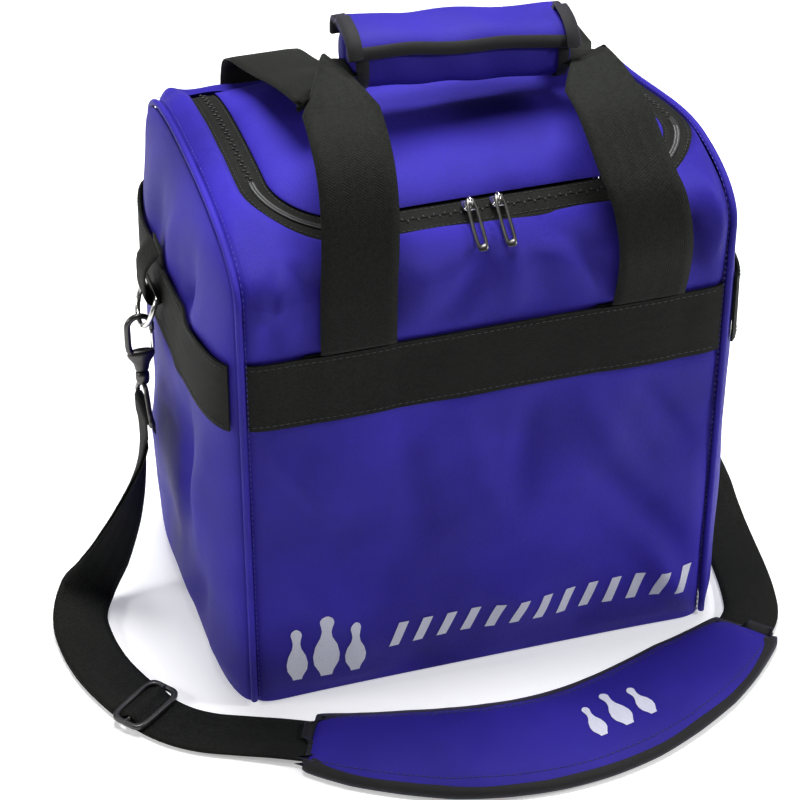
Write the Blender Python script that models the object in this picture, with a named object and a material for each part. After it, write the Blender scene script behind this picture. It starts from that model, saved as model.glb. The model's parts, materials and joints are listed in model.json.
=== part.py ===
"""Single-ball bowling bag: soft woven body with a zipped lid, webbing handles and a shoulder strap.

Metres, +Z up, the front of the bag faces -Y, the origin is the middle of the base on the floor.
"""

import math

import bmesh
import bpy
from mathutils import Matrix, Vector

# ---------------------------------------------------------------- body of the bag
HALF_WIDTH = 0.165          # seam to seam across the front
HALF_DEPTH = 0.120          # outside of the front and back panels
SHOULDER = 0.318            # where the straight front starts to round over
CROWN = 0.357               # top of the body
ROUNDNESS = 2.5             # power of the superellipse that rounds the top
FABRIC = 0.0045             # padded fabric wall
GAP = 0.0004                # clearance between pieces that touch
BULGE = 0.016               # how far the side panels swell
PIPING_R = 0.0027
STRIP_X = 0.1585            # side edges of the panels that wrap front to back
PIPING_X = 0.1618
SIDE_X = 0.1596             # inner face of a side panel at its seam
SIDE_INSET = 0.0034         # a side panel's outline inside the body's outline

# ---------------------------------------------------------------- zip and lid
ZIP_X = 0.144               # centre line of the zip at the sides
ZIP_FRONT = -0.093          # and along the front
ZIP_BACK = 0.094            # where it ends, at the hinge
ZIP_CORNER = 0.055          # radius of its front corners
TAPE_IN = 0.0018
TAPE_OUT = 0.0085
LID_DOME = 0.014
LID_EDGE = 0.0089           # the lid's edge from the zip's centre line
HINGE_Y = 0.0966
SLIDER_X = 0.0085           # each zip slider from the middle

# ---------------------------------------------------------------- webbing
WEB = 0.050                 # wide webbing
WEB_T = 0.0016
BAND_LOW = 0.227
BAND_HIGH = BAND_LOW + WEB
HANDLE_X = 0.096
GRIP_Y = -0.020             # middle of the grip
GRIP_HALF = 0.069           # half the length of the grip
SWING_Z = BAND_HIGH + 0.0030
SWING_Y = 0.1217

# ---------------------------------------------------------------- rings, hooks and shoulder strap
RING_Y = 0.015
RING_X = 0.1882
RING_Z = 0.256
RING_DEPTH = 0.027
RING_LEAN = math.radians(20)
WIRE = 0.0018
HOOK_X = RING_X + RING_DEPTH * math.sin(RING_LEAN) + 0.0004
STRAP = 0.038
STRAP_T = 0.0014
EYE_Z = 0.160               # middle of the hook's strap bar


def clear_scene():
    for item in list(bpy.data.objects):
        bpy.data.objects.remove(item, do_unlink=True)


def material(name, colour, rough, metal=0.0):
    found = bpy.data.materials.get(name)
    if found:
        return found
    made = bpy.data.materials.new(name)
    made.use_nodes = True
    shader = made.node_tree.nodes["Principled BSDF"]
    shader.inputs["Base Color"].default_value = (*colour, 1.0)
    shader.inputs["Roughness"].default_value = rough
    shader.inputs["Metallic"].default_value = metal
    made.diffuse_color = (*colour, 1.0)
    return made


CLOTH = ("fabric_violet", (0.060, 0.036, 0.42), 0.62)
WEBBING = ("webbing_black", (0.022, 0.023, 0.021), 0.78)
LINING = ("lining_dark", (0.03, 0.03, 0.035), 0.85)
FOAM = ("foam_grey", (0.12, 0.12, 0.13), 0.9)
BOARD = ("board_black", (0.03, 0.03, 0.03), 0.7)
NICKEL = ("nickel", (0.70, 0.69, 0.66), 0.24, 1.0)
GUNMETAL = ("gunmetal", (0.20, 0.20, 0.21), 0.32, 1.0)
COIL = ("zip_black", (0.02, 0.02, 0.02), 0.45)
BINDING = ("binding_black", (0.018, 0.018, 0.018), 0.7)
VELCRO = ("hook_and_loop", (0.02, 0.02, 0.025), 0.95)
PLASTIC = ("plastic_black", (0.02, 0.02, 0.02), 0.4)


def add(name, verts, faces, look, origin=(0, 0, 0), smooth=True):
    """A mesh object whose faces point outwards, with its origin at the given point."""
    offset = Vector(origin)
    mesh = bpy.data.meshes.new(name)
    mesh.from_pydata([tuple(Vector(v) - offset) for v in verts], [], faces)
    work = bmesh.new()
    work.from_mesh(mesh)
    bmesh.ops.remove_doubles(work, verts=work.verts, dist=1e-6)
    bmesh.ops.recalc_face_normals(work, faces=work.faces)
    work.to_mesh(mesh)
    work.free()
    made = bpy.data.objects.new(name, mesh)
    made.location = offset
    bpy.context.scene.collection.objects.link(made)
    mesh.materials.append(material(look[0], look[1], look[2], look[3] if len(look) > 3 else 0.0))
    for face in mesh.polygons:
        face.use_smooth = smooth
    return made


def loft(name, rings, look, closed=False, origin=(0, 0, 0), smooth=True):
    """A skin through rings of equal length, capped at both ends or joined into a loop."""
    count = len(rings[0])
    verts = [v for ring in rings for v in ring]
    faces = []
    last = len(rings) if closed else len(rings) - 1
    for i in range(last):
        a = i * count
        b = ((i + 1) % len(rings)) * count
        for j in range(count):
            k = (j + 1) % count
            faces.append((a + j, a + k, b + k, b + j))
    if not closed:
        faces.append(tuple(reversed(range(count))))
        faces.append(tuple(range((len(rings) - 1) * count, len(rings) * count)))
    return add(name, verts, faces, look, origin, smooth)


def sheet(name, outer, inner, look, origin=(0, 0, 0)):
    """A padded sheet between two grids of points of the same size."""
    rows = len(outer)
    cols = len(outer[0])
    verts = [p for row in outer for p in row] + [p for row in inner for p in row]
    half = rows * cols
    faces = []
    for i in range(rows - 1):
        for j in range(cols - 1):
            a = i * cols + j
            faces.append((a, a + 1, a + cols + 1, a + cols))
            faces.append((half + a, half + a + cols, half + a + cols + 1, half + a + 1))
    edge = [j for j in range(cols)]
    edge += [i * cols + cols - 1 for i in range(1, rows)]
    edge += [(rows - 1) * cols + j for j in range(cols - 2, -1, -1)]
    edge += [i * cols for i in range(rows - 2, 0, -1)]
    for n, a in enumerate(edge):
        b = edge[(n + 1) % len(edge)]
        faces.append((a, half + a, half + b, b))
    return add(name, verts, faces, look, origin)


def prism(name, outline, low, high, look, origin=(0, 0, 0), smooth=False):
    """A flat outline in x, y raised from one height to another."""
    rings = [[(x, y, low) for x, y in outline], [(x, y, high) for x, y in outline]]
    return loft(name, rings, look, origin=origin, smooth=smooth)


def frames(path, closed, start):
    """Tangent, side and up for each point of a path, carried along without twisting."""
    points = [Vector(p) for p in path]
    count = len(points)
    tangents = []
    for i in range(count):
        if closed:
            step = points[(i + 1) % count] - points[i - 1]
        else:
            step = points[min(i + 1, count - 1)] - points[max(i - 1, 0)]
        tangents.append(step.normalized())
    side = Vector(start)
    side = (side - tangents[0] * side.dot(tangents[0])).normalized()
    found = []
    for i in range(count):
        side = (side - tangents[i] * side.dot(tangents[i])).normalized()
        found.append((points[i], side.copy(), tangents[i].cross(side)))
    return found


def tube(name, path, radius, look, sides=10, closed=False, start=(0, 0, 1), origin=(0, 0, 0)):
    rings = []
    for point, side, up in frames(path, closed, start):
        turn = [2 * math.pi * k / sides for k in range(sides)]
        rings.append([point + side * (radius * math.cos(a)) + up * (radius * math.sin(a)) for a in turn])
    return loft(name, rings, look, closed=closed, origin=origin)


def ribbon(name, stations, thick, look, origin=(0, 0, 0)):
    """Webbing through stations of (left edge, right edge, face normal), split the same way on both faces."""
    verts = []
    for left, right, normal in stations:
        lift = Vector(normal).normalized() * (thick / 2)
        a = Vector(left)
        b = Vector(right)
        m = (a + b) / 2
        verts += [a + lift, m + lift, b + lift, a - lift, m - lift, b - lift]
    faces = []
    for i in range(len(stations) - 1):
        p = i * 6
        q = p + 6
        for j in (0, 1):
            faces.append((p + j, p + j + 1, q + j + 1))
            faces.append((p + j, q + j + 1, q + j))
            faces.append((p + 3 + j, q + 4 + j, p + 4 + j))
            faces.append((p + 3 + j, q + 3 + j, q + 4 + j))
        faces.append((p, q, q + 3, p + 3))
        faces.append((p + 2, p + 5, q + 5, q + 2))
    end = (len(stations) - 1) * 6
    faces.append((0, 3, 4, 5, 2, 1))
    faces.append((end, end + 1, end + 2, end + 5, end + 4, end + 3))
    return add(name, verts, faces, look, origin)


def smooth_route(route, steps=2):
    """More stations along a route of (point, width direction), on a curve through the ones given."""
    points = [Vector(p) for p, _ in route]
    widths = [Vector(w).normalized() for _, w in route]
    found = []
    for i in range(len(points) - 1):
        p0 = points[max(0, i - 1)]
        p1 = points[i]
        p2 = points[i + 1]
        p3 = points[min(len(points) - 1, i + 2)]
        for k in range(steps):
            t = k / steps
            place = 0.5 * ((2 * p1) + (p2 - p0) * t + (2 * p0 - 5 * p1 + 4 * p2 - p3) * t * t
                           + (3 * p1 - p0 - 3 * p2 + p3) * t ** 3)
            found.append((place, widths[i].lerp(widths[i + 1], t)))
    found.append((points[-1], widths[-1]))
    return tuple(found)


def arc(centre, radius, start, end, steps):
    """Points of a circular arc in a plane, angles in degrees."""
    found = []
    for i in range(steps + 1):
        a = math.radians(start + (end - start) * i / steps)
        found.append((centre[0] + radius * math.cos(a), centre[1] + radius * math.sin(a)))
    return found


def union(base, *others):
    """Joins other meshes into the base and removes them."""
    for other in others:
        step = base.modifiers.new("join", "BOOLEAN")
        step.operation = "UNION"
        step.solver = "EXACT"
        step.object = other
    apply_all(base)
    for other in others:
        bpy.data.objects.remove(other, do_unlink=True)
    return base


def subtract(base, *cutters):
    for cutter in cutters:
        step = base.modifiers.new("cut", "BOOLEAN")
        step.operation = "DIFFERENCE"
        step.solver = "EXACT"
        step.object = cutter
    apply_all(base)
    for cutter in cutters:
        bpy.data.objects.remove(cutter, do_unlink=True)
    return base


def apply_all(item):
    bpy.context.view_layer.update()
    graph = bpy.context.evaluated_depsgraph_get()
    baked = bpy.data.meshes.new_from_object(item.evaluated_get(graph))
    item.modifiers.clear()
    item.data = baked


# ---------------------------------------------------------------- shape of the body
def body_outline(inset, steps=22):
    """(y, z) points of the body's side outline from the front base, over the top, to the back base."""
    depth = HALF_DEPTH - inset
    rise = CROWN - inset - SHOULDER
    found = []
    for i in range(steps + 1):
        t = math.pi * i / steps
        c = math.cos(t)
        s = math.sin(t)
        y = -depth * math.copysign(abs(c) ** (2 / ROUNDNESS), c)
        z = SHOULDER + rise * abs(s) ** (2 / ROUNDNESS)
        found.append((y, z))
    return found


def top_height(y, inset=0.0):
    """Height of the body's top above a given depth."""
    depth = HALF_DEPTH - inset
    part = min(1.0, abs(y) / depth)
    return SHOULDER + (CROWN - inset - SHOULDER) * (1 - part ** ROUNDNESS) ** (1 / ROUNDNESS)


def half_depth_at(z, inset):
    """Half depth of the body at a height, the other way round from top_height."""
    depth = HALF_DEPTH - inset
    if z <= SHOULDER:
        return depth
    part = min(1.0, (z - SHOULDER) / (CROWN - inset - SHOULDER))
    return depth * (1 - part ** ROUNDNESS) ** (1 / ROUNDNESS)


def swell(y, z):
    """Outward swell of a side panel: full in the middle, nothing at its seams."""
    span = half_depth_at(z, SIDE_INSET)
    if span < 1e-6:
        return 0.0
    across = 1 - min(1.0, abs(y) / span) ** 2.5
    upward = 1 - min(1.0, z / (CROWN - SIDE_INSET)) ** 7
    return BULGE * across * upward


def side_surface(y, z):
    """Outside of a side panel, as a distance from the middle of the bag."""
    return SIDE_X + FABRIC + swell(y, z)


def flat_wall(name, sign):
    """The front or back panel: straight up to the shoulder."""
    outer = []
    inner = []
    heights = [0.001, 0.08, 0.16, 0.24, SHOULDER - 0.0002]
    for z in heights:
        outer.append([(x * STRIP_X, sign * HALF_DEPTH, z) for x in (-1, 0, 1)])
        inner.append([(x * STRIP_X, sign * (HALF_DEPTH - FABRIC), z) for x in (-1, 0, 1)])
    return sheet(name, outer, inner, CLOTH)


def zip_path(steps=7):
    """Plan of the zip's centre line with its outward direction, from the back left round to the back right."""
    found = []
    bend_y = ZIP_FRONT + ZIP_CORNER
    bend_x = ZIP_X - ZIP_CORNER
    for i in range(5):
        y = ZIP_BACK + (bend_y - ZIP_BACK) * i / 5
        found.append((-ZIP_X, y, -1.0, 0.0))
    for i in range(steps + 1):
        a = math.radians(180 + 90 * i / steps)
        found.append((-bend_x + ZIP_CORNER * math.cos(a), bend_y + ZIP_CORNER * math.sin(a),
                      math.cos(a), math.sin(a)))
    found.append((0.0, ZIP_FRONT, 0.0, -1.0))
    right = [(-x, y, -nx, ny) for x, y, nx, ny in found[:-1]]
    return found + right[::-1]


def zip_strip(name, start, end, low, high, look, origin=(0, 0, 0)):
    """A strip that follows the zip between two distances from its centre line."""
    rings = []
    for x, y, nx, ny in zip_path():
        a = (x + nx * start, y + ny * start)
        b = (x + nx * end, y + ny * end)
        za = top_height(a[1])
        zb = top_height(b[1])
        rings.append([(a[0], a[1], za + low), (b[0], b[1], zb + low),
                      (b[0], b[1], zb + high), (a[0], a[1], za + high)])
    return loft(name, rings, look, origin=origin)


def zip_outline(offset, back):
    """Closed plan outline at a distance from the zip's centre line, closed by a straight back edge."""
    line = [(x + nx * offset, y + ny * offset) for x, y, nx, ny in zip_path()]
    line[0] = (line[0][0], back)
    line[-1] = (line[-1][0], back)
    return line


def make_body():
    flat_wall("front_panel", -1)
    flat_wall("back_panel", 1)

    outer = []
    inner = []
    outside = body_outline(0.0, 26)
    inside = body_outline(FABRIC, 26)
    for k, ((yo, zo), (yi, zi)) in enumerate(zip(outside, inside)):
        if k in (0, len(outside) - 1):      # the seams with the front and back panels
            zo = zi = SHOULDER + 0.0002
        outer.append([(x * STRIP_X, yo, zo) for x in (-1, -0.5, 0, 0.5, 1)])
        inner.append([(x * STRIP_X, yi, zi) for x in (-1, -0.5, 0, 0.5, 1)])
    surround = sheet("top_surround", outer, inner, CLOTH)
    cutter = prism("lid_opening", zip_outline(TAPE_OUT + GAP, HINGE_Y + 0.0008), 0.30, 0.42, CLOTH)
    subtract(surround, cutter)

    for side, sign in (("left", -1), ("right", 1)):
        outer = []
        inner = []
        top = CROWN - SIDE_INSET
        heights = [0.001, 0.06, 0.12, 0.18, 0.24, 0.29, SHOULDER]
        heights += [SHOULDER + (top - SHOULDER) * f for f in (0.3, 0.55, 0.75, 0.89, 0.97, 0.995)]
        for z in heights:
            span = half_depth_at(z, SIDE_INSET)
            line = [span * math.sin(math.pi / 2 * k / 4) for k in range(-4, 5)]
            outer.append([(sign * side_surface(y, z), y, z) for y in line])
            inner.append([(sign * (side_surface(y, z) - FABRIC), y, z) for y in line])
        sheet(side + "_side_panel", outer, inner, CLOTH)

        cord = [(-HALF_DEPTH, z) for z in (0.004, 0.11, 0.22)]
        cord += body_outline(0.0, 26)
        cord += [(HALF_DEPTH, z) for z in (0.22, 0.11, 0.004)]
        path = [(sign * PIPING_X, y, z) for y, z in cord]
        tube(side + "_piping", path, PIPING_R, CLOTH, sides=7, start=(1, 0, 0))

    depth = HALF_DEPTH - FABRIC - 0.0008
    rim = [(STRIP_X - 0.001, -depth)]
    for k in range(-5, 6):
        y = depth * 0.97 * math.sin(math.pi / 2 * k / 5)
        rim.append((SIDE_X - 0.0012 + swell(y, 0.002), y))
    rim.append((STRIP_X - 0.001, depth))
    outline = rim + [(-x, y) for x, y in reversed(rim)]
    prism("base_panel", outline, 0.0, 0.004, CLOTH)

    half_x = 0.150
    half_y = 0.106
    board = arc((half_x - 0.02, half_y - 0.02), 0.02, 0, 90, 4)
    board += arc((-half_x + 0.02, half_y - 0.02), 0.02, 90, 180, 4)
    board += arc((-half_x + 0.02, -half_y + 0.02), 0.02, 180, 270, 4)
    board += arc((half_x - 0.02, -half_y + 0.02), 0.02, 270, 360, 4)
    prism("base_board", board, 0.0044, 0.0074, BOARD)

    ball = 0.108                        # a regulation ball sits in the foam ring
    ball_z = 0.0078 + 0.004 + ball
    profile = [(0.036, 0.0078), (0.082, 0.0078), (0.080, 0.026)]
    for r in (0.070, 0.062, 0.054, 0.046, 0.038):
        profile.append((r, ball_z - math.sqrt((ball + 0.0005) ** 2 - r * r)))
    rings = []
    for k in range(28):
        a = 2 * math.pi * k / 28
        rings.append([(r * math.cos(a), r * math.sin(a), z) for r, z in profile])
    loft("ball_cup", rings, FOAM, closed=True)


def make_bands():
    """Webbing sewn round the body, with the sewn-down ends of the handles under it."""
    for side, sign in (("front", -1), ("back", 1)):
        near = HALF_DEPTH + 0.0022
        far = near + WEB_T
        outer = []
        inner = []
        for z in (BAND_LOW, BAND_HIGH):
            outer.append([(x * 0.1575, sign * far, z) for x in (-1, 0, 1)])
            inner.append([(x * 0.1575, sign * near, z) for x in (-1, 0, 1)])
        sheet(side + "_band", outer, inner, WEBBING)
        for end, turn in (("left", -1), ("right", 1)):
            stations = []
            for z in (BAND_LOW + 0.004, SWING_Z - 0.0014):
                y = sign * (HALF_DEPTH + 0.0011)
                stations.append(((turn * HANDLE_X - WEB / 2, y, z), (turn * HANDLE_X + WEB / 2, y, z), (0, 1, 0)))
            ribbon(f"{side}_{end}_handle_foot", stations, WEB_T - 0.0002, WEBBING)

    for side, sign in (("left", -1), ("right", 1)):
        outer = []
        inner = []
        line = [0.112 * math.sin(math.pi / 2 * k / 6) for k in range(-6, 7)]
        for z in (BAND_LOW, (BAND_LOW + BAND_HIGH) / 2, BAND_HIGH):
            outer.append([(sign * (side_surface(y, z) + 0.0006 + WEB_T), y, z) for y in line])
            inner.append([(sign * (side_surface(y, z) + 0.0006), y, z) for y in line])
        sheet(side + "_side_band", outer, inner, WEBBING)


def make_zip_and_lid():
    hinge = (0.0, HINGE_Y, top_height(HINGE_Y) + 0.001)
    zip_strip("zipper_tape_outer", TAPE_IN, TAPE_OUT, -0.0014, -0.0004, WEBBING)
    zip_strip("zipper_tape_inner", -TAPE_OUT, -TAPE_IN, -0.0014, -0.0004, WEBBING, hinge)
    zip_strip("zipper_teeth_outer", 0.0002, 0.0016, -0.0016, 0.0008, COIL)
    zip_strip("zipper_teeth_inner", -0.0016, -0.0002, -0.0016, 0.0008, COIL, hinge)

    bend_y = ZIP_FRONT + ZIP_CORNER
    bend_x = ZIP_X - ZIP_CORNER
    round_r = ZIP_CORNER - LID_EDGE
    front = ZIP_FRONT + LID_EDGE
    depths = [front + 0.0002]
    depths += [bend_y - round_r * math.cos(math.radians(a)) for a in (18, 36, 54, 72, 90)]
    rear = HINGE_Y - 0.0008
    depths += [bend_y + (rear - bend_y) * f for f in (0.25, 0.5, 0.75, 0.92, 1.0)]
    outer = []
    inner = []
    middle = (front + rear) / 2
    reach = (rear - front) / 2
    for y in depths:
        if y < bend_y:
            half = bend_x + math.sqrt(max(0.0, round_r ** 2 - (bend_y - y) ** 2))
        else:
            half = ZIP_X - LID_EDGE
        top_row = []
        low_row = []
        for k in range(-5, 6):
            x = half * math.sin(math.pi / 2 * k / 5)
            across = 1 - abs(x / half) ** 3
            along = 1 - abs((y - middle) / reach) ** 3
            lift = LID_DOME * across * along
            top_row.append((x, y, top_height(y) + lift))
            low_row.append((x, y, top_height(y) + lift - FABRIC))
        outer.append(top_row)
        inner.append(low_row)
    sheet("lid_panel", outer, inner, CLOTH, hinge)

    for side, sign in (("left", -1), ("right", 1)):
        x = sign * SLIDER_X
        y = ZIP_FRONT
        z = top_height(y) + 0.0019
        plate = prism(side + "_zip_slider",
                      [(x - 0.0048, y - 0.0030), (x - 0.0034, y - 0.0040), (x + 0.0034, y - 0.0040),
                       (x + 0.0048, y - 0.0030), (x + 0.0036, y + 0.0052), (x - 0.0036, y + 0.0052)],
                      z, z + 0.0016, NICKEL, origin=(x, y, z))
        bail = [(x, y - 0.0036, z + 0.0006), (x, y - 0.0036, z + 0.0052)]
        bail += [(x, y + 0.0036 * math.sin(math.radians(a)), z + 0.0052 + 0.0020 * math.cos(math.radians(a)))
                 for a in (-60, -30, 0, 30, 60)]
        bail += [(x, y + 0.0036, z + 0.0052), (x, y + 0.0036, z + 0.0006)]
        loop = tube("bail", bail, 0.0008, NICKEL, sides=6, start=(1, 0, 0), origin=(x, y, z))
        union(plate, loop)
        make_pull(side + "_zip_pull", x, y - 0.0016, z + 0.0047)


def make_pull(name, x, y, z):
    """A leaf with a hole at its top; the bar above the hole runs through the slider's bail."""
    slope = math.radians(-144)          # hangs forwards over the rounded shoulder
    ahead = Vector((0, math.cos(slope), math.sin(slope)))
    across = Vector((1, 0, 0))
    normal = ahead.cross(across)
    pivot = Vector((x, y, z))

    def plate(points, thick):
        low = [pivot + ahead * a + across * b - normal * (thick / 2) for a, b in points]
        high = [pivot + ahead * a + across * b + normal * (thick / 2) for a, b in points]
        return [low, high]

    leaf = [(-0.0007, -0.0030), (-0.0007, 0.0030), (0.010, 0.0036), (0.034, 0.0042), (0.037, 0.0024),
            (0.037, -0.0024), (0.034, -0.0042), (0.010, -0.0036)]
    body = loft(name, plate(leaf, 0.0012), GUNMETAL, origin=tuple(pivot), smooth=False)
    hole = [(0.0008, -0.0018), (0.0008, 0.0018), (0.0072, 0.0018), (0.0072, -0.0018)]
    cutter = loft("pull_hole", plate(hole, 0.006), GUNMETAL, origin=tuple(pivot), smooth=False)
    subtract(body, cutter)


# ---------------------------------------------------------------- handles
FRONT_RISE = ((0.1217, 0.2808), (0.1222, 0.300), (0.1222, 0.325), (0.1195, 0.350), (0.1125, 0.374),
              (0.1000, 0.394), (0.0820, 0.408), (0.0640, 0.4145), (0.0500, 0.4160))
BACK_RISE = ((0.1217, 0.2808), (0.1222, 0.300), (0.1222, 0.325), (0.1190, 0.348), (0.1100, 0.368),
             (0.0920, 0.384), (0.0680, 0.396), (0.0450, 0.4035), (0.0180, 0.4080))


def handle_stations(rise, sign, level, inner_edge, outer_edge):
    """Half a handle from its foot to the middle of the grip: up, folded over at a slant, then along the grip."""
    stations = []
    count = len(rise)
    for i, (y, z) in enumerate(rise):
        a = rise[max(0, i - 1)]
        b = rise[min(count - 1, i + 1)]
        step = Vector((0, -sign * -1 * (b[0] - a[0]), b[1] - a[1]))
        normal = Vector((1, 0, 0)).cross(Vector((0, sign * (b[0] - a[0]), b[1] - a[1])))
        place = sign * y
        stations.append(((-HANDLE_X - WEB / 2, place, z), (-HANDLE_X + WEB / 2, place, z), normal))
    flip = 1 if stations[0][2].y * -1 > 0 else -1
    stations = [(a, b, n * flip) for a, b, n in stations]
    normal = stations[-1][2].normalized()
    left = -HANDLE_X - WEB / 2
    right = -HANDLE_X + WEB / 2
    radius = 0.0017
    crease_a = Vector((left, outer_edge, level))
    crease_b = Vector((right, inner_edge, level))
    along = (crease_b - crease_a).normalized()
    up = Vector((0, 0, 1)) if normal.z > 0 else Vector((0, 0, -1))
    face = up
    beyond = face.cross(along)
    if beyond.x > 0:
        beyond = -beyond
    stations.append((crease_a, crease_b, face))
    for turn in (45, 90, 135):
        t = math.radians(turn)
        shift = beyond * (radius * math.sin(t)) - Vector((0, 0, 1)) * (radius * (1 - math.cos(t)))
        out = beyond * math.sin(t) + Vector((0, 0, 1)) * math.cos(t)
        out = out if face.z > 0 else -out
        stations.append((crease_a + shift, crease_b + shift, out))
    low = level - 2 * radius
    down = -face
    stations.append(((left, outer_edge, low), (right, inner_edge, low), down))
    stations.append(((right - 0.010, outer_edge, low), (right + 0.0006, inner_edge, low), down))
    stations.append(((right + 0.006, outer_edge, low), (right + 0.006, inner_edge, low), down))
    stations.append(((0.0, outer_edge, low), (0.0, inner_edge, low), down))
    return stations


def make_handle(name, rise, sign, level, inner_edge, outer_edge):
    half = handle_stations(rise, sign, level, inner_edge, outer_edge)
    stations = list(half)
    for left, right, normal in reversed(half[:-1]):
        a = Vector((-left[0], left[1], left[2]))
        b = Vector((-right[0], right[1], right[2]))
        n = Vector(normal)
        stations.append((a, b, (-n.x, n.y, n.z)))
    return ribbon(name, stations, WEB_T, WEBBING, origin=(0, sign * SWING_Y, SWING_Z))


def grip_half(name, sign, slot_low, slot_high, pivot):
    """Half of the padded grip: a C that holds one handle's webbing and is open towards the other half."""
    mid = GRIP_Y + sign * 0.0005
    far = GRIP_Y + sign * 0.0290
    low = 0.3935
    high = 0.4370
    r = 0.013
    outer = [(mid, low)]
    outer += [(far - sign * r + sign * r * math.sin(math.radians(a)), low + r - r * math.cos(math.radians(a)))
              for a in (0, 22, 45, 68, 90)]
    outer += [(far - sign * r + sign * r * math.cos(math.radians(a)), high - r + r * math.sin(math.radians(a)))
              for a in (0, 22, 45, 68, 90)]
    outer += [(mid, high)]
    inner = [(mid, slot_high), (far - sign * 0.0028, slot_high), (far - sign * 0.0028, slot_low), (mid, slot_low)]
    section = outer + inner
    rings = [[(x, y, z) for y, z in section] for x in (-GRIP_HALF, 0, GRIP_HALF)]
    return loft(name, rings, CLOTH, origin=pivot, smooth=False)


def make_handles():
    make_handle("front_handle_web", FRONT_RISE, -1, 0.4165, GRIP_Y - 0.0022, GRIP_Y - 0.0255)
    make_handle("back_handle_web", BACK_RISE, 1, 0.4090, GRIP_Y + 0.0022, GRIP_Y + 0.0255)
    front = (0, -SWING_Y, SWING_Z)
    back = (0, SWING_Y, SWING_Z)
    grip_half("front_grip_pad", -1, 0.4100, 0.4166, front)
    grip_half("back_grip_pad", 1, 0.4025, 0.4091, back)

    edge_y = GRIP_Y + 0.0318
    flap_z = 0.4376
    rows = []
    under = []
    section = [(0.0318, -0.012, 0.0), (0.0316, -0.004, 0.0), (0.0290, 0.0006, 0.0), (0.020, 0.0024, 0.0),
               (0.0, 0.0030, 0.0), (-0.020, 0.0024, 0.0), (-0.0300, 0.0004, 0.0)]
    for dy, dz, _ in section:
        y = GRIP_Y + dy
        z = flap_z + dz + 0.0006
        rows.append([(x * GRIP_HALF, y + (0.0028 if dy > 0.031 else 0.0), z + (0.0030 if dy <= 0.031 else 0.0))
                     for x in (-1, 0, 1)])
        under.append([(x * GRIP_HALF, y, z) for x in (-1, 0, 1)])
    sheet("wrap_flap", rows, under, CLOTH, origin=(0, edge_y, flap_z - 0.012))

    trim = [(GRIP_Y - 0.0306, flap_z + 0.0005), (GRIP_Y - 0.0340, flap_z - 0.0002), (GRIP_Y - 0.0362, flap_z + 0.0014),
            (GRIP_Y - 0.0350, flap_z + 0.0042), (GRIP_Y - 0.0306, flap_z + 0.0048)]
    rings = [[(x, y, z) for y, z in trim] for x in (-GRIP_HALF - 0.002, 0, GRIP_HALF + 0.002)]
    loft("wrap_flap_binding", rings, BINDING, origin=(0, edge_y, flap_z - 0.012))


# ---------------------------------------------------------------- rings, hooks and shoulder strap
def make_ring_set(side, sign):
    x = sign * RING_X
    wall = side_surface(RING_Y, RING_Z) + 0.0006 + WEB_T + GAP
    near = wall + WEB_T / 2 + 0.0001
    loop_r = RING_X - near
    path = [(near, RING_Z + 0.034), (near, RING_Z + 0.020), (near, RING_Z + 0.004)]
    path += [(RING_X - loop_r * math.cos(math.radians(a)), RING_Z - loop_r * math.sin(math.radians(a)))
             for a in (0, 45, 90, 135, 180)]
    path += [(RING_X + loop_r, RING_Z + 0.006), (RING_X + loop_r - 0.0012, RING_Z + 0.020),
             (near + WEB_T + 0.0004, RING_Z + 0.032)]
    stations = []
    for i, (px, pz) in enumerate(path):
        a = path[max(0, i - 1)]
        b = path[min(len(path) - 1, i + 1)]
        normal = (sign * (b[1] - a[1]), 0, -(b[0] - a[0]))
        stations.append(((sign * px, RING_Y - 0.0125, pz), (sign * px, RING_Y + 0.0125, pz), normal))
    ribbon(side + "_ring_tab", stations, WEB_T, WEBBING)

    # the ring's plane leans outwards about its straight bar
    lean = RING_LEAN * sign
    half = 0.0165
    flat = [(-half, 0.0), (0.0, 0.0), (half, 0.0)]
    flat += [(half * math.cos(math.radians(a)) * 1.0, -RING_DEPTH + half - 0.001 - (half - 0.001) * math.sin(math.radians(a)))
             for a in (0, 30, 60, 90, 120, 150, 180)]
    ring = []
    for dy, dz in flat:
        ring.append((x - dz * math.sin(lean), RING_Y + dy, RING_Z + dz * math.cos(lean)))
    tube(side + "_d_ring", ring, WIRE, NICKEL, sides=8, closed=True, start=(1, 0, 0), origin=(x, RING_Y, RING_Z))

    make_hook(side, sign)


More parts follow.
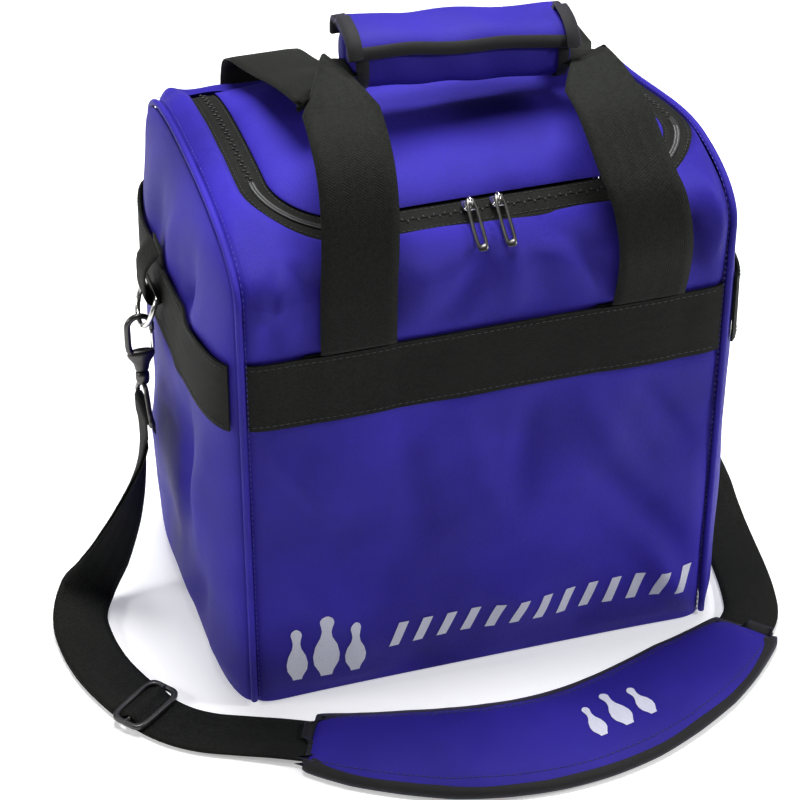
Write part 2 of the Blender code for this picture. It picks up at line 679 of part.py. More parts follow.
def make_hook(side, sign):
    x = sign * HOOK_X
    y = RING_Y
    ring_low = RING_Z - RING_DEPTH * math.cos(RING_LEAN)
    bow_r = 0.0082
    wire = 0.0019
    bow_z = ring_low + WIRE + 0.0006 + wire - bow_r       # centre of the bow's curve
    limb_low = bow_z - 0.0185
    origin = (x, y, limb_low - 0.010)

    # fixed limb on the outside, round the bow and down to the nose
    line = [(x + sign * bow_r * 0.35, y, limb_low - 0.0045), (x + sign * bow_r, y, limb_low + 0.003),
            (x + sign * bow_r, y, bow_z)]
    line += [(x + sign * bow_r * math.cos(math.radians(a)), y, bow_z + bow_r * math.sin(math.radians(a)))
             for a in (30, 60, 90, 120, 150, 180)]
    line += [(x - sign * bow_r, y, bow_z - 0.0040)]
    bow = tube("bow", line, wire, GUNMETAL, sides=8, start=(0, 1, 0), origin=origin)
    rings = []
    for z, rx, ry in ((limb_low - 0.0165, 0.0036, 0.0036), (limb_low - 0.013, 0.0052, 0.0040),
                      (limb_low - 0.006, 0.0080, 0.0040), (limb_low - 0.0015, 0.0098, 0.0034)):
        rings.append([(x + rx * math.cos(2 * math.pi * k / 12), y + ry * math.sin(2 * math.pi * k / 12), z)
                      for k in range(12)])
    body = loft(side + "_hook_body", rings, GUNMETAL, origin=origin)
    union(body, bow)

    # sprung gate between the body and the nose
    gate_low = Vector((x - sign * bow_r, y, limb_low - 0.0006))
    gate_high = Vector((x - sign * bow_r, y, bow_z - 0.0050))
    gate = [gate_low + (gate_high - gate_low) * f for f in (0.0, 0.5, 1.0)]
    tube(side + "_hook_gate", gate, 0.0015, NICKEL, sides=8, start=(0, 1, 0), origin=tuple(gate_low))

    # swivel barrel with a wide bar that the webbing runs round
    top = limb_low - 0.0169
    rings = []
    for z, r in ((top - 0.0095, 0.0030), (top - 0.0080, 0.0044), (top - 0.0020, 0.0044), (top, 0.0032)):
        rings.append([(x + r * math.cos(2 * math.pi * k / 12), y + r * math.sin(2 * math.pi * k / 12), z)
                      for k in range(12)])
    barrel = loft(side + "_hook_eye", rings, GUNMETAL, origin=(x, y, top))
    half = STRAP / 2 + 0.0028
    frame = [(0.0, top - 0.0085), (0.010, top - 0.0110), (half - 0.004, EYE_Z + 0.0080), (half, EYE_Z + 0.0030),
             (half, EYE_Z), (half - 0.003, EYE_Z - 0.0008), (0.0, EYE_Z - 0.0008)]
    loop = [(x, y + a, z) for a, z in frame] + [(x, y - a, z) for a, z in reversed(frame[1:-1])]
    eye = tube("eye", loop, 0.0016, GUNMETAL, sides=7, closed=True, start=(1, 0, 0), origin=(x, y, top))
    union(barrel, eye)


# middle line of the shoulder strap with its width direction, from the left hook to the pad
WRAP_R = 0.0027             # webbing's middle round the hook's bar
BAR_Z = EYE_Z - 0.0008
LEFT_WRAP = tuple(((-HOOK_X + WRAP_R * math.cos(math.radians(a)), RING_Y,
                    BAR_Z + WRAP_R * math.sin(math.radians(a))), (0.0, 1.0, 0.0))
                  for a in (0, 45, 90, 135, 180))
LEFT_ROUTE = (
    ((-HOOK_X - WRAP_R, 0.0150, 0.1480), (0.0, 1.0, 0.0)),
    ((-0.2030, 0.0155, 0.1250), (0.25, 0.97, 0.0)),
    ((-0.2100, 0.0170, 0.0950), (0.60, 0.80, 0.0)),
    ((-0.2200, 0.0190, 0.0620), (0.85, 0.50, 0.0)),
    ((-0.2330, 0.0190, 0.0330), (0.97, 0.20, 0.0)),
    ((-0.2480, 0.0140, 0.0130), (1.0, 0.02, 0.0)),
    ((-0.2570, -0.0050, 0.0046), (1.0, 0.0, 0.0)),
    ((-0.2575, -0.0300, 0.0026), (1.0, 0.08, 0.0)),
    ((-0.2530, -0.0580, 0.0024), (0.95, 0.25, 0.0)),
    ((-0.2440, -0.0840, 0.0024), (0.90, 0.42, 0.0)),
    ((-0.2330, -0.1060, 0.0024), (0.77, 0.62, 0.0)),
    ((-0.2180, -0.1260, 0.0024), (0.70, 0.72, 0.0)),
    ((-0.2000, -0.1400, 0.0024), (0.55, 0.83, 0.0)),
    ((-0.1780, -0.1510, 0.0032), (0.45, 0.90, 0.0)),
    ((-0.1560, -0.1620, 0.0048), (0.45, 0.90, 0.0)),
    ((-0.1360, -0.1720, 0.0052), (0.44, 0.90, 0.0)),
)
# through the pad, along its curve
PAD_ROUTE = (
    ((-0.1100, -0.1860, 0.0052), (0.38, 0.92, 0.0)),
    ((-0.0800, -0.1980, 0.0052), (0.32, 0.94, 0.0)),
    ((-0.0500, -0.2080, 0.0052), (0.25, 0.96, 0.0)),
    ((-0.0200, -0.2140, 0.0052), (0.14, 0.99, 0.0)),
    ((0.0100, -0.2165, 0.0052), (0.0, 1.0, 0.0)),
    ((0.0400, -0.2145, 0.0052), (-0.14, 0.99, 0.0)),
    ((0.0700, -0.2080, 0.0052), (-0.28, 0.96, 0.0)),
    ((0.1000, -0.1970, 0.0052), (-0.38, 0.92, 0.0)),
    ((0.1300, -0.1830, 0.0052), (-0.45, 0.89, 0.0)),
    ((0.1560, -0.1690, 0.0052), (-0.52, 0.85, 0.0)),
)
RIGHT_ROUTE = (
    ((0.1760, -0.1550, 0.0052), (-0.67, 0.74, 0.0)),
    ((0.1920, -0.1360, 0.0046), (-0.84, 0.55, 0.0)),
    ((0.2000, -0.1120, 0.0034), (-0.96, 0.28, 0.0)),
    ((0.2050, -0.0850, 0.0028), (-0.99, 0.14, 0.0)),
    ((0.2080, -0.0580, 0.0034), (-1.0, 0.08, 0.0)),
    ((0.2095, -0.0330, 0.0080), (-1.0, 0.05, 0.0)),
    ((0.2090, -0.0130, 0.0200), (-1.0, 0.0, 0.0)),
    ((0.2060, 0.0040, 0.0450), (-0.75, -0.60, 0.0)),
    ((0.2025, 0.0120, 0.0780), (-0.35, -0.90, 0.0)),
    ((0.2005, 0.0145, 0.1150), (-0.10, -0.99, 0.0)),
    ((HOOK_X + WRAP_R, 0.0150, 0.1480), (0.0, -1.0, 0.0)),
)
RIGHT_WRAP = tuple(((-x, y, z), (0.0, -1.0, 0.0)) for (x, y, z), _ in reversed(LEFT_WRAP))


def strap_stations(route, lift=0.0, width=STRAP):
    """Stations of a flat strap along a route of (middle, width direction), moved along its face by lift."""
    points = [Vector(p) for p, _ in route]
    stations = []
    for i, (_, wide) in enumerate(route):
        step = points[min(i + 1, len(points) - 1)] - points[max(i - 1, 0)]
        step.normalize()
        side = Vector(wide)
        side = (side - step * side.dot(step)).normalized()
        normal = step.cross(side)
        centre = points[i] + normal * lift
        stations.append((centre - side * width / 2, centre + side * width / 2, normal))
    return stations


def pad_outline(grow):
    """Closed plan outline of the curved shoulder pad around the strap's route."""
    widths = (0.028, 0.033, 0.037, 0.040, 0.041, 0.0415, 0.0415, 0.041, 0.039, 0.035, 0.029, 0.022)
    route = (LEFT_ROUTE[-1],) + PAD_ROUTE + ((Vector(RIGHT_ROUTE[0][0]) + Vector((0.006, 0.004, 0)), (-0.72, 0.70, 0)),)
    one = []
    other = []
    for (p, wide), half in zip(route, widths):
        side = Vector((wide[0], wide[1], 0)).normalized()
        one.append(Vector((p[0], p[1], 0)) + side * (half + grow))
        other.append(Vector((p[0], p[1], 0)) - side * (half + grow))
    outline = one + other[::-1]
    return [(p.x, p.y) for p in outline]


def make_strap():
    end = ((-HOOK_X + WRAP_R, RING_Y, BAR_Z - 0.0080), (0.0, 1.0, 0.0))
    start = ((HOOK_X - WRAP_R, RING_Y, BAR_Z - 0.0080), (0.0, -1.0, 0.0))
    left = smooth_route(LEFT_ROUTE)
    route = (end,) + LEFT_WRAP + left + PAD_ROUTE + smooth_route(RIGHT_ROUTE) + RIGHT_WRAP + (start,)
    ribbon("strap_web", strap_stations(route), STRAP_T, WEBBING)

    # second layer, folded back from the hook to the slider
    back = strap_stations(left, lift=STRAP_T + 2 * GAP)[1:19]
    ribbon("strap_return_web", back, STRAP_T, WEBBING)

    # slider with three bars: the strap runs under it and its end comes back round the middle bar
    centre, wide = LEFT_ROUTE[10]
    centre = Vector(centre)
    side = Vector(wide).normalized()
    ahead = Vector((0, 0, 1)).cross(side).normalized()
    low = centre.z + STRAP_T / 2 + GAP
    half_w = STRAP / 2 + 0.004
    half_l = 0.0125

    def corner(a, b, z):
        p = centre + side * a + ahead * b
        return (p.x, p.y, z)

    def block(name, wa, wb, la, lb):
        rings = [[corner(wa, la, z), corner(wb, la, z), corner(wb, lb, z), corner(wa, lb, z)]
                 for z in (low, low + 0.0030)]
        return loft(name, rings, PLASTIC, smooth=False, origin=tuple(centre))

    frame = block("strap_slider", -half_w, half_w, -half_l, half_l)
    inner = half_w - 0.0030
    gaps = [block("slot", -inner, inner, 0.0022, half_l - 0.003), block("slot", -inner, inner, -half_l + 0.003, -0.0022)]
    for slot in gaps:
        for v in slot.data.vertices:
            v.co.z += -0.002 if v.co.z < 0.002 else 0.002
    subtract(frame, *gaps)

    low = 0.0
    base = prism("pad_base", pad_outline(0.0), 0.0006, 0.0036, FOAM)
    top = []
    for grow, z in ((0.0, 0.0064), (0.0005, 0.0100), (-0.004, 0.0130), (-0.012, 0.0146)):
        top.append([(x, y, z) for x, y in pad_outline(grow)])
    loft("pad_top", top, CLOTH, smooth=False)
    return base, low


clear_scene()
make_body()
make_bands()
make_zip_and_lid()
make_handles()
for ring_side, ring_sign in (("left", -1), ("right", 1)):
    make_ring_set(ring_side, ring_sign)
make_strap()
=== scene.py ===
# %% [markdown]
# # A bag for one bowling ball
# The bag is cloth, webbing and a few small metal fittings, sewn into a box with a rounded top.
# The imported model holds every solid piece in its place. This lesson dresses it: each cloth piece is
# built again as a real sewn panel, with a lining, folds and stitching, and rides on the same body.

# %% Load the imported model
import json
import math
import bmesh
import bpy
import numpy as np
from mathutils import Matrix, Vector, noise

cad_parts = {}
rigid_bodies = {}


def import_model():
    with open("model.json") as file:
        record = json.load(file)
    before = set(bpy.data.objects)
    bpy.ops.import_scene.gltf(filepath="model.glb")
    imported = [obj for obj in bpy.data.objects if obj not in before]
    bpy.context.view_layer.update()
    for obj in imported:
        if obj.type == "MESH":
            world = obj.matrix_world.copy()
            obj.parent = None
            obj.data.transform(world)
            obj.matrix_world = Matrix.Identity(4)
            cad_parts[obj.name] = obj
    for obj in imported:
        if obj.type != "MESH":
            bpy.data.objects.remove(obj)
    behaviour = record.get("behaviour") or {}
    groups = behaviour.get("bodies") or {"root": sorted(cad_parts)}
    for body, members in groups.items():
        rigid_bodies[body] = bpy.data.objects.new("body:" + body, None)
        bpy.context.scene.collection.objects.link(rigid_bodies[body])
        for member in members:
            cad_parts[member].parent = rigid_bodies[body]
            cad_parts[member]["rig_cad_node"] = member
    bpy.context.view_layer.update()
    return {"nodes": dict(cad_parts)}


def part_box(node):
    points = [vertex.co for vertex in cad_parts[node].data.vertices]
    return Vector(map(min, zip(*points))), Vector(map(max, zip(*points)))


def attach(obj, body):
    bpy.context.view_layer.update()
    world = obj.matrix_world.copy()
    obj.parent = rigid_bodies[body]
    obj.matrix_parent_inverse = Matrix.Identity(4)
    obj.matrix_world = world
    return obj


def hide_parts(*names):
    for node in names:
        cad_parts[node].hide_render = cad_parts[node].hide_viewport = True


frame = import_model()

# %% [markdown]
# ## Camera
# A long lens from a little above and to the left, far enough away that the box hardly tapers.

# %% Camera
CAMERA_PLACE = (-0.461, -1.441, 1.238)
CAMERA_TURN = (math.radians(53.91), 0.0, math.radians(-16.92))
camera_data = bpy.data.cameras.new("camera")
camera_data.lens = 121.7
camera_data.sensor_width = 36.0
camera = bpy.data.objects.new("camera", camera_data)
camera.location = CAMERA_PLACE
camera.rotation_euler = CAMERA_TURN
bpy.context.scene.collection.objects.link(camera)
bpy.context.scene.camera = camera

# %% [markdown]
# ## Shader sums
# A pattern such as a weave is a sum of waves. Writing it as `0.5 + 0.5 * warp.sin()` is easier to
# read than a chain of nodes, so a small class wraps an output socket and adds the Math nodes itself.

# %% A socket that can be used in a sum
def plug(tree, value, slot):
    if isinstance(value, Wire):
        tree.links.new(value.socket, slot)
    else:
        slot.default_value = value


def sum_node(tree, operation, values):
    node = tree.nodes.new("ShaderNodeMath")
    node.operation = operation
    for value, slot in zip(values, node.inputs):
        plug(tree, value, slot)
    return Wire(tree, node.outputs[0])


class Wire:
    """One output socket of a material, with arithmetic."""

    def __init__(self, tree, socket):
        self.tree = tree
        self.socket = socket

    def __add__(self, other):
        return sum_node(self.tree, "ADD", (self, other))

    __radd__ = __add__

    def __mul__(self, other):
        return sum_node(self.tree, "MULTIPLY", (self, other))

    __rmul__ = __mul__

    def __sub__(self, other):
        return sum_node(self.tree, "SUBTRACT", (self, other))

    def __rsub__(self, other):
        return sum_node(self.tree, "SUBTRACT", (other, self))

    def __truediv__(self, other):
        return sum_node(self.tree, "DIVIDE", (self, other))

    def __abs__(self):
        return sum_node(self.tree, "ABSOLUTE", (self,))

    def sin(self):
        return sum_node(self.tree, "SINE", (self,))

    def fract(self):
        return sum_node(self.tree, "FRACT", (self,))

    def clamp(self, low, high):
        return sum_node(self.tree, "MINIMUM", (sum_node(self.tree, "MAXIMUM", (self, low)), high))


class Finish:
    """A material: fixed values on the shader's own sockets, patterns on the few that may vary."""

    def __init__(self, name, **fixed):
        self.material = bpy.data.materials.new(name)
        self.material.use_nodes = True
        self.tree = self.material.node_tree
        self.shader = self.tree.nodes["Principled BSDF"]
        for socket, value in fixed.items():
            self.shader.inputs[socket.replace("_", " ")].default_value = value

    def add(self, kind, settings=None, sockets=None, output=0):
        node = self.tree.nodes.new("ShaderNode" + kind)
        for key, value in (settings or {}).items():
            setattr(node, key, value)
        for key, value in (sockets or {}).items():
            plug(self.tree, value, node.inputs[key])
        return Wire(self.tree, node.outputs[output])

    def metres(self):
        """Distance across and along a piece, in metres, from its map."""
        spot = self.add("UVMap", {"uv_map": "metres"})
        return self.add("SeparateXYZ", None, {0: spot}, 0), self.add("SeparateXYZ", None, {0: spot}, 1)

    def grain(self, scale, detail=2.0, rough=0.55):
        place = self.add("TexCoord", None, None, 3)
        return self.add("TexNoise", None, {"Vector": place, "Scale": scale, "Detail": detail,
                                           "Roughness": rough}, 0)

    def blend(self, share, first, second):
        return self.add("Mix", {"data_type": "RGBA"}, {0: share, 6: first, 7: second}, 2)

    def colour(self, wire):
        plug(self.tree, wire, self.shader.inputs["Base Color"])

    def roughness(self, wire):
        plug(self.tree, wire, self.shader.inputs["Roughness"])

    def relief(self, height, depth, strength=1.0):
        bump = self.add("Bump", None, {"Height": height, "Distance": depth, "Strength": strength})
        plug(self.tree, bump, self.shader.inputs["Normal"])
        return self.material


# %% [markdown]
# ## Cloth
# The panels are coated nylon in a strong violet blue: a fine plain weave with a low sheen. The weave
# is a product of two waves in the piece's own map, measured in metres, so it has one scale everywhere.

# %% Cloth finishes
TURN = 2 * math.pi


def cloth(name, dark, light, rough=0.56, sheen=0.03, thread=0.0011):
    look = Finish(name, Sheen_Weight=sheen, Sheen_Roughness=0.45, Sheen_Tint=(0.55, 0.5, 1.0, 1.0),
                  Specular_IOR_Level=0.13)
    across, along = look.metres()
    weave = (across * (TURN / thread)).sin() * (along * (TURN / thread)).sin()
    slub = look.grain(420.0, 2.0)
    patches = look.grain(9.0, 3.0)
    share = ((patches - 0.5) * 1.6 + 0.5 + (slub - 0.5) * 0.35).clamp(0.0, 1.0)
    look.colour(look.blend(share, dark, light))
    look.roughness(rough - 0.08 + slub * 0.16)
    return look.relief(weave * 0.5 + slub * 1.3, 0.00022, 0.75)


VIOLET = cloth("violet_cloth", (0.0130, 0.0085, 0.150, 1), (0.036, 0.0225, 0.380, 1))
VIOLET_PAD = cloth("violet_pad_cloth", (0.0135, 0.0085, 0.170, 1), (0.029, 0.0180, 0.300, 1), thread=0.0014)
LINING = cloth("black_lining", (0.012, 0.012, 0.015, 1), (0.022, 0.022, 0.027, 1), 0.7, 0.1)
BINDING = cloth("binding_tape", (0.010, 0.010, 0.010, 1), (0.020, 0.020, 0.019, 1), 0.62, 0.15, 0.0016)
print("cloth finishes made")

# %% [markdown]
# ## Webbing
# Webbing is woven thick and tight. Its face shows short ribs in a zigzag across the width, and loose
# filaments that catch the light as fine specks.

# %% Webbing, zip and thread finishes
def webbing(name, dark, light, zigzag=0.010, rib=0.0019):
    look = Finish(name, Sheen_Weight=0.02, Sheen_Roughness=0.5, Sheen_Tint=(0.9, 0.92, 0.85, 1.0),
                  Specular_IOR_Level=0.12)
    across, along = look.metres()
    peak = abs((across / zigzag).fract() - 0.5) * 2
    ribs = ((along + peak * 0.004) * (TURN / rib)).sin() * 0.5 + 0.5
    yarn = (across * (TURN / 0.0014)).sin() * 0.5 + 0.5
    fuzz = look.grain(520.0, 3.0, 0.7)
    worn = look.grain(14.0, 3.0)
    share = (ribs * 0.22 + yarn * 0.10 + (fuzz - 0.42) * 1.5 + (worn - 0.5) * 0.5).clamp(0.0, 1.0)
    look.colour(look.blend(share, dark, light))
    look.roughness(0.62 + fuzz * 0.25)
    return look.relief(ribs * 0.6 + yarn * 0.3 + fuzz * 0.9, 0.00035, 0.8)


WEBBING = webbing("black_webbing", (0.0022, 0.0026, 0.0021, 1), (0.021, 0.0225, 0.019, 1))
ZIP_TAPE = webbing("zip_tape", (0.005, 0.0055, 0.005, 1), (0.022, 0.023, 0.019, 1), 0.004, 0.0012)


def metal(name, base, rough, wear):
    look = Finish(name, Metallic=1.0)
    fine = look.grain(260.0, 4.0, 0.6)
    broad = look.grain(40.0, 2.0)
    look.colour(look.blend(broad, tuple(c * 0.82 for c in base[:3]) + (1,), base))
    look.roughness(rough + (fine - 0.5) * wear)
    return look.relief(fine, 0.00003, 0.35)


def moulded(name, base, rough, depth=0.00006):
    look = Finish(name, Specular_IOR_Level=0.5)
    fine = look.grain(700.0, 2.0)
    look.colour(look.blend(fine, tuple(c * 0.75 for c in base[:3]) + (1,), base))
    look.roughness(rough + (fine - 0.5) * 0.2)
    return look.relief(fine, depth, 0.5)


NICKEL = metal("polished_nickel", (0.74, 0.73, 0.70, 1), 0.20, 0.14)
GUNMETAL = metal("dark_nickel", (0.085, 0.083, 0.080, 1), 0.34, 0.16)
COIL = moulded("zip_coil", (0.030, 0.030, 0.030, 1), 0.40)
MOULDED = moulded("black_acetal", (0.022, 0.022, 0.023, 1), 0.38)
FOAM = moulded("grey_foam", (0.10, 0.10, 0.11, 1), 0.9, 0.0006)
BOARD = moulded("black_board", (0.03, 0.03, 0.03, 1), 0.6)
THREAD_BLACK = moulded("black_thread", (0.035, 0.035, 0.033, 1), 0.55)
THREAD_VIOLET = moulded("violet_thread", (0.040, 0.026, 0.36, 1), 0.5)
INK = moulded("pale_ink", (0.66, 0.67, 0.78, 1), 0.42, 0.00003)
print("webbing, metal and moulded finishes made")

# %% [markdown]
# ## Building sheets and ribbons
# Nearly every piece is a sheet laid out in rows. One helper turns a block of points into a mesh, gives
# it a map in metres and thickens it inwards with a lining on the back. Another puts it on its body.
# Simulated cloth would crease by itself, but these shapes are laid out one by one, so each one is set.

# %% Mesh helpers
def settle(piece, body, slot, *nodes):
    """Puts a finished piece on its body, in place of the model's own solids."""
    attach(piece, body)
    if nodes:
        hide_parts(*nodes)
    return piece


def new_piece(name, points, faces, look, flat=None):
    mesh = bpy.data.meshes.new(name)
    mesh.from_pydata([tuple(map(float, p)) for p in points], [], [tuple(map(int, f)) for f in faces])
    mesh.update()
    looks = look if isinstance(look, (list, tuple)) else [look]
    for item in looks:
        mesh.materials.append(item)
    if flat is None:
        flat = [(p[0] + 0.37 * p[2], p[1] + 0.93 * p[2]) for p in points]
    chart = mesh.uv_layers.new(name="metres")
    spots = np.array(flat, np.float32).reshape(-1, 2)
    corner = np.zeros(len(mesh.loops), np.int32)
    mesh.loops.foreach_get("vertex_index", corner)
    chart.data.foreach_set("uv", spots[corner].ravel())
    mesh.shade_smooth()
    piece = bpy.data.objects.new(name, mesh)
    bpy.context.scene.collection.objects.link(piece)
    return piece


def grid_faces(rows, columns, closed_rows=False, closed_columns=False):
    faces = []
    for i in range(rows if closed_rows else rows - 1):
        for j in range(columns if closed_columns else columns - 1):
            a = i * columns + j
            b = i * columns + (j + 1) % columns
            c = ((i + 1) % rows) * columns + (j + 1) % columns
            d = ((i + 1) % rows) * columns + j
            faces.append((a, b, c, d))
    return faces


def open_edges(mesh):
    """The edges of a sheet that belong to one face only."""
    seen = {}
    for face in mesh.polygons:
        for key in face.edge_keys:
            seen[key] = seen.get(key, 0) + 1
    return [edge for edge in mesh.edges if seen.get(edge.key, 0) == 1]


def spread(points):
    """Distances across and along a block of points, for its map in metres."""
    block = np.array(points, float)
    down = np.cumsum(np.linalg.norm(np.diff(block, axis=0, prepend=block[:1]), axis=2), axis=0)
    over = np.cumsum(np.linalg.norm(np.diff(block, axis=1, prepend=block[:, :1]), axis=2), axis=1)
    return np.stack([over, down], axis=2)


def sheet(name, rows, look, thick, outward, inner=None, flat=None, closed=False):
    """A cloth sheet from a block of points; outward says which way its good side faces."""
    block = np.array([[tuple(p) for p in row] for row in rows], float)
    n, m = block.shape[:2]
    faces = grid_faces(n, m, False, closed)
    points = block.reshape(-1, 3)
    quads = points[np.array(faces)]
    normals = np.cross(quads[:, 2] - quads[:, 0], quads[:, 3] - quads[:, 1])
    if (normals @ np.array(outward, float)).sum() < 0:
        faces = [tuple(reversed(f)) for f in faces]
    flat = spread(block) if flat is None else flat
    piece = new_piece(name, points, faces, [look, inner or look], flat.reshape(-1, 2))
    if thick:
        step = piece.modifiers.new("thickness", "SOLIDIFY")
        step.thickness = thick
        step.offset = -1.0
        step.material_offset = 1
        step.material_offset_rim = 0
        for edge in open_edges(piece.data):
            edge.use_edge_sharp = True
    return piece


def polar(radius, degrees):
    """Both coordinates of a point on a circle."""
    a = math.radians(degrees)
    return radius * math.cos(a), radius * math.sin(a)


def smooth_line(points, steps):
    """A smooth curve through the given points."""
    knots = [Vector(p) for p in points]
    found = []
    for i in range(len(knots) - 1):
        before, start = knots[max(0, i - 1)], knots[i]
        end, after = knots[i + 1], knots[min(len(knots) - 1, i + 2)]
        for k in range(steps):
            t = k / steps
            bend = (2 * before - 5 * start + 4 * end - after) * t * t
            twist = (3 * start - before - 3 * end + after) * t ** 3
            found.append(0.5 * (2 * start + (end - before) * t + bend + twist))
    found.append(knots[-1])
    return found


def rope(name, path, radius, look, sides=10, closed=False, side=(0, 0, 1), taper=None):
    """A round bar or cord along a path."""
    line = [Vector(p) for p in path]
    count = len(line)
    across = Vector(side)
    rings = []
    for i, point in enumerate(line):
        ahead = line[(i + 1) % count] if closed else line[min(i + 1, count - 1)]
        behind = line[i - 1] if closed else line[max(i - 1, 0)]
        tangent = (ahead - behind).normalized()
        across = (across - tangent * across.dot(tangent)).normalized()
        up = tangent.cross(across)
        r = radius if taper is None else radius * taper(i / (count - 1))
        rings.append([point + across * (r * math.cos(TURN * k / sides))
                      + up * (r * math.sin(TURN * k / sides)) for k in range(sides)])
    points = [p for ring in rings for p in ring]
    faces = grid_faces(count, sides, closed, True)
    if not closed:
        faces += [tuple(range(sides - 1, -1, -1)), tuple(range((count - 1) * sides, count * sides))]
    return outward_faces(new_piece(name, points, faces, look))


def outward_faces(piece):
    """Turns the faces of a closed mesh so that they all face out."""
    work = bmesh.new()
    work.from_mesh(piece.data)
    bmesh.ops.recalc_face_normals(work, faces=work.faces)
    work.to_mesh(piece.data)
    work.free()
    return piece


def strap(name, stations, thick, look, cells=6):
    """Webbing through stations of (one edge, other edge, face normal), with rounded selvedges."""
    verts = []
    flat = []
    run = 0.0
    last = None
    for left, right, normal in stations:
        a, b, n = Vector(left), Vector(right), Vector(normal).normalized()
        middle = (a + b) / 2
        run += (middle - last).length if last is not None else 0.0
        last = middle
        width = (b - a).length
        ring = []
        for k in range(cells + 1):
            t = k / cells
            edge = 0.5 if k in (0, cells) else 1.0
            ring.append((a.lerp(b, t) + n * (thick / 2 * edge), t * width))
        for k in range(cells, -1, -1):
            t = k / cells
            edge = 0.5 if k in (0, cells) else 1.0
            ring.append((a.lerp(b, t) - n * (thick / 2 * edge), t * width))
        verts += [p for p, _ in ring]
        flat += [(w, run) for _, w in ring]
    size = 2 * (cells + 1)
    faces = grid_faces(len(stations), size, False, True)
    faces += [tuple(range(size - 1, -1, -1)), tuple(range((len(stations) - 1) * size, len(stations) * size))]
    return outward_faces(new_piece(name, verts, faces, look, flat))


def stitches(name, line, look, length=0.0030, gap=0.0013, thick=0.00034):
    """A row of thread stitches lying along a line of points."""
    marks = [Vector(p) for p in line]
    runs = np.cumsum([0.0] + [(b - a).length for a, b in zip(marks, marks[1:])])
    verts = []
    faces = []
    place = 0.0
    while place + length < runs[-1]:
        ends = []
        for spot in (place, place + length / 2, place + length):
            k = min(int(np.searchsorted(runs, spot, "right")) - 1, len(marks) - 2)
            share = (spot - runs[k]) / max(runs[k + 1] - runs[k], 1e-9)
            ends.append(marks[k].lerp(marks[k + 1], share))
        ahead = (ends[2] - ends[0]).normalized()
        side = ahead.cross(Vector((0.3, 0.5, 0.81))).normalized()
        up = ahead.cross(side)
        start = len(verts)
        for point, r in zip(ends, (0.45, 1.0, 0.45)):
            for k in range(6):
                a = TURN * k / 6
                verts.append(point + side * (thick * r * math.cos(a)) + up * (thick * r * math.sin(a)))
        for ring in (0, 1):
            for k in range(6):
                p = start + ring * 6
                faces.append((p + k, p + (k + 1) % 6, p + 6 + (k + 1) % 6, p + 6 + k))
        faces.append(tuple(start + k for k in range(5, -1, -1)))
        faces.append(tuple(start + 12 + k for k in range(6)))
        place += length + gap
    return outward_faces(new_piece(name, verts, faces, look))


print("mesh helpers ready")

# %% [markdown]
# ## The body's surface
# Front, top and back are one strip of cloth in the real bag, so they share one surface: `x` across and
# `s` along the strip, from the front base over the top to the back base. Each panel takes its own part
# of that surface, so they meet with no step. Folds are soft ridges laid along lines in the strip.

# %% The strip that goes over the bag
SEAM_X = 0.1590
HALF_DEPTH = 0.120
SHOULDER = 0.318
CROWN = 0.357
POWER = 2.5
CLOTH_THICK = 0.0040
TOP_SHIFT = 0.009


def outline_table():
    """Depth, height and running length of the strip, at close steps."""
    t = np.linspace(0, math.pi, 1601)
    c, s = np.cos(t), np.sin(t)
    arch_y = -HALF_DEPTH * np.sign(c) * np.abs(c) ** (2 / POWER)
    arch_z = SHOULDER + (CROWN - SHOULDER) * np.abs(s) ** (2 / POWER)
    wall = np.linspace(0.0005, SHOULDER, 320)[:-1]
    y = np.concatenate([np.full(319, -HALF_DEPTH), arch_y, np.full(319, HALF_DEPTH)])
    z = np.concatenate([wall, arch_z, wall[::-1]])
    run = np.concatenate([[0.0], np.cumsum(np.hypot(np.diff(y), np.diff(z)))])
    return y, z, run


LINE_Y, LINE_Z, LINE_RUN = outline_table()
STRIP_LENGTH = float(LINE_RUN[-1])
FRONT_END = SHOULDER - 0.0005
BACK_START = STRIP_LENGTH - FRONT_END


def run_at(y):
    """Running length of the strip above a depth, on the top."""
    top = (LINE_RUN > FRONT_END + 1e-4) & (LINE_RUN < BACK_START - 1e-4)
    return float(np.interp(y, LINE_Y[top], LINE_RUN[top]))


def height_at(y):
    part = min(1.0, abs(y) / HALF_DEPTH)
    return SHOULDER + (CROWN - SHOULDER) * (1 - part ** POWER) ** (1 / POWER)


def ease(low, high, value):
    """Smooth step from 0 at low to 1 at high."""
    t = min(1.0, max(0.0, (value - low) / (high - low)))
    return t * t * (3 - 2 * t)


def ridge(x, s, line):
    """Height of one fold at a place: a soft ridge along a short line, pinched at its ends."""
    ax, ay, bx, by, width, height = line
    dx, dy = bx - ax, by - ay
    t = ((x - ax) * dx + (s - ay) * dy) / (dx * dx + dy * dy)
    if t < -0.15 or t > 1.15:
        return 0.0
    off = abs((x - ax) * dy - (s - ay) * dx) / math.hypot(dx, dy)
    lengthwise = math.sin(math.pi * min(1.0, max(0.0, (t + 0.15) / 1.3))) ** 1.5
    return height * math.exp(-(off / width) ** 2) * lengthwise


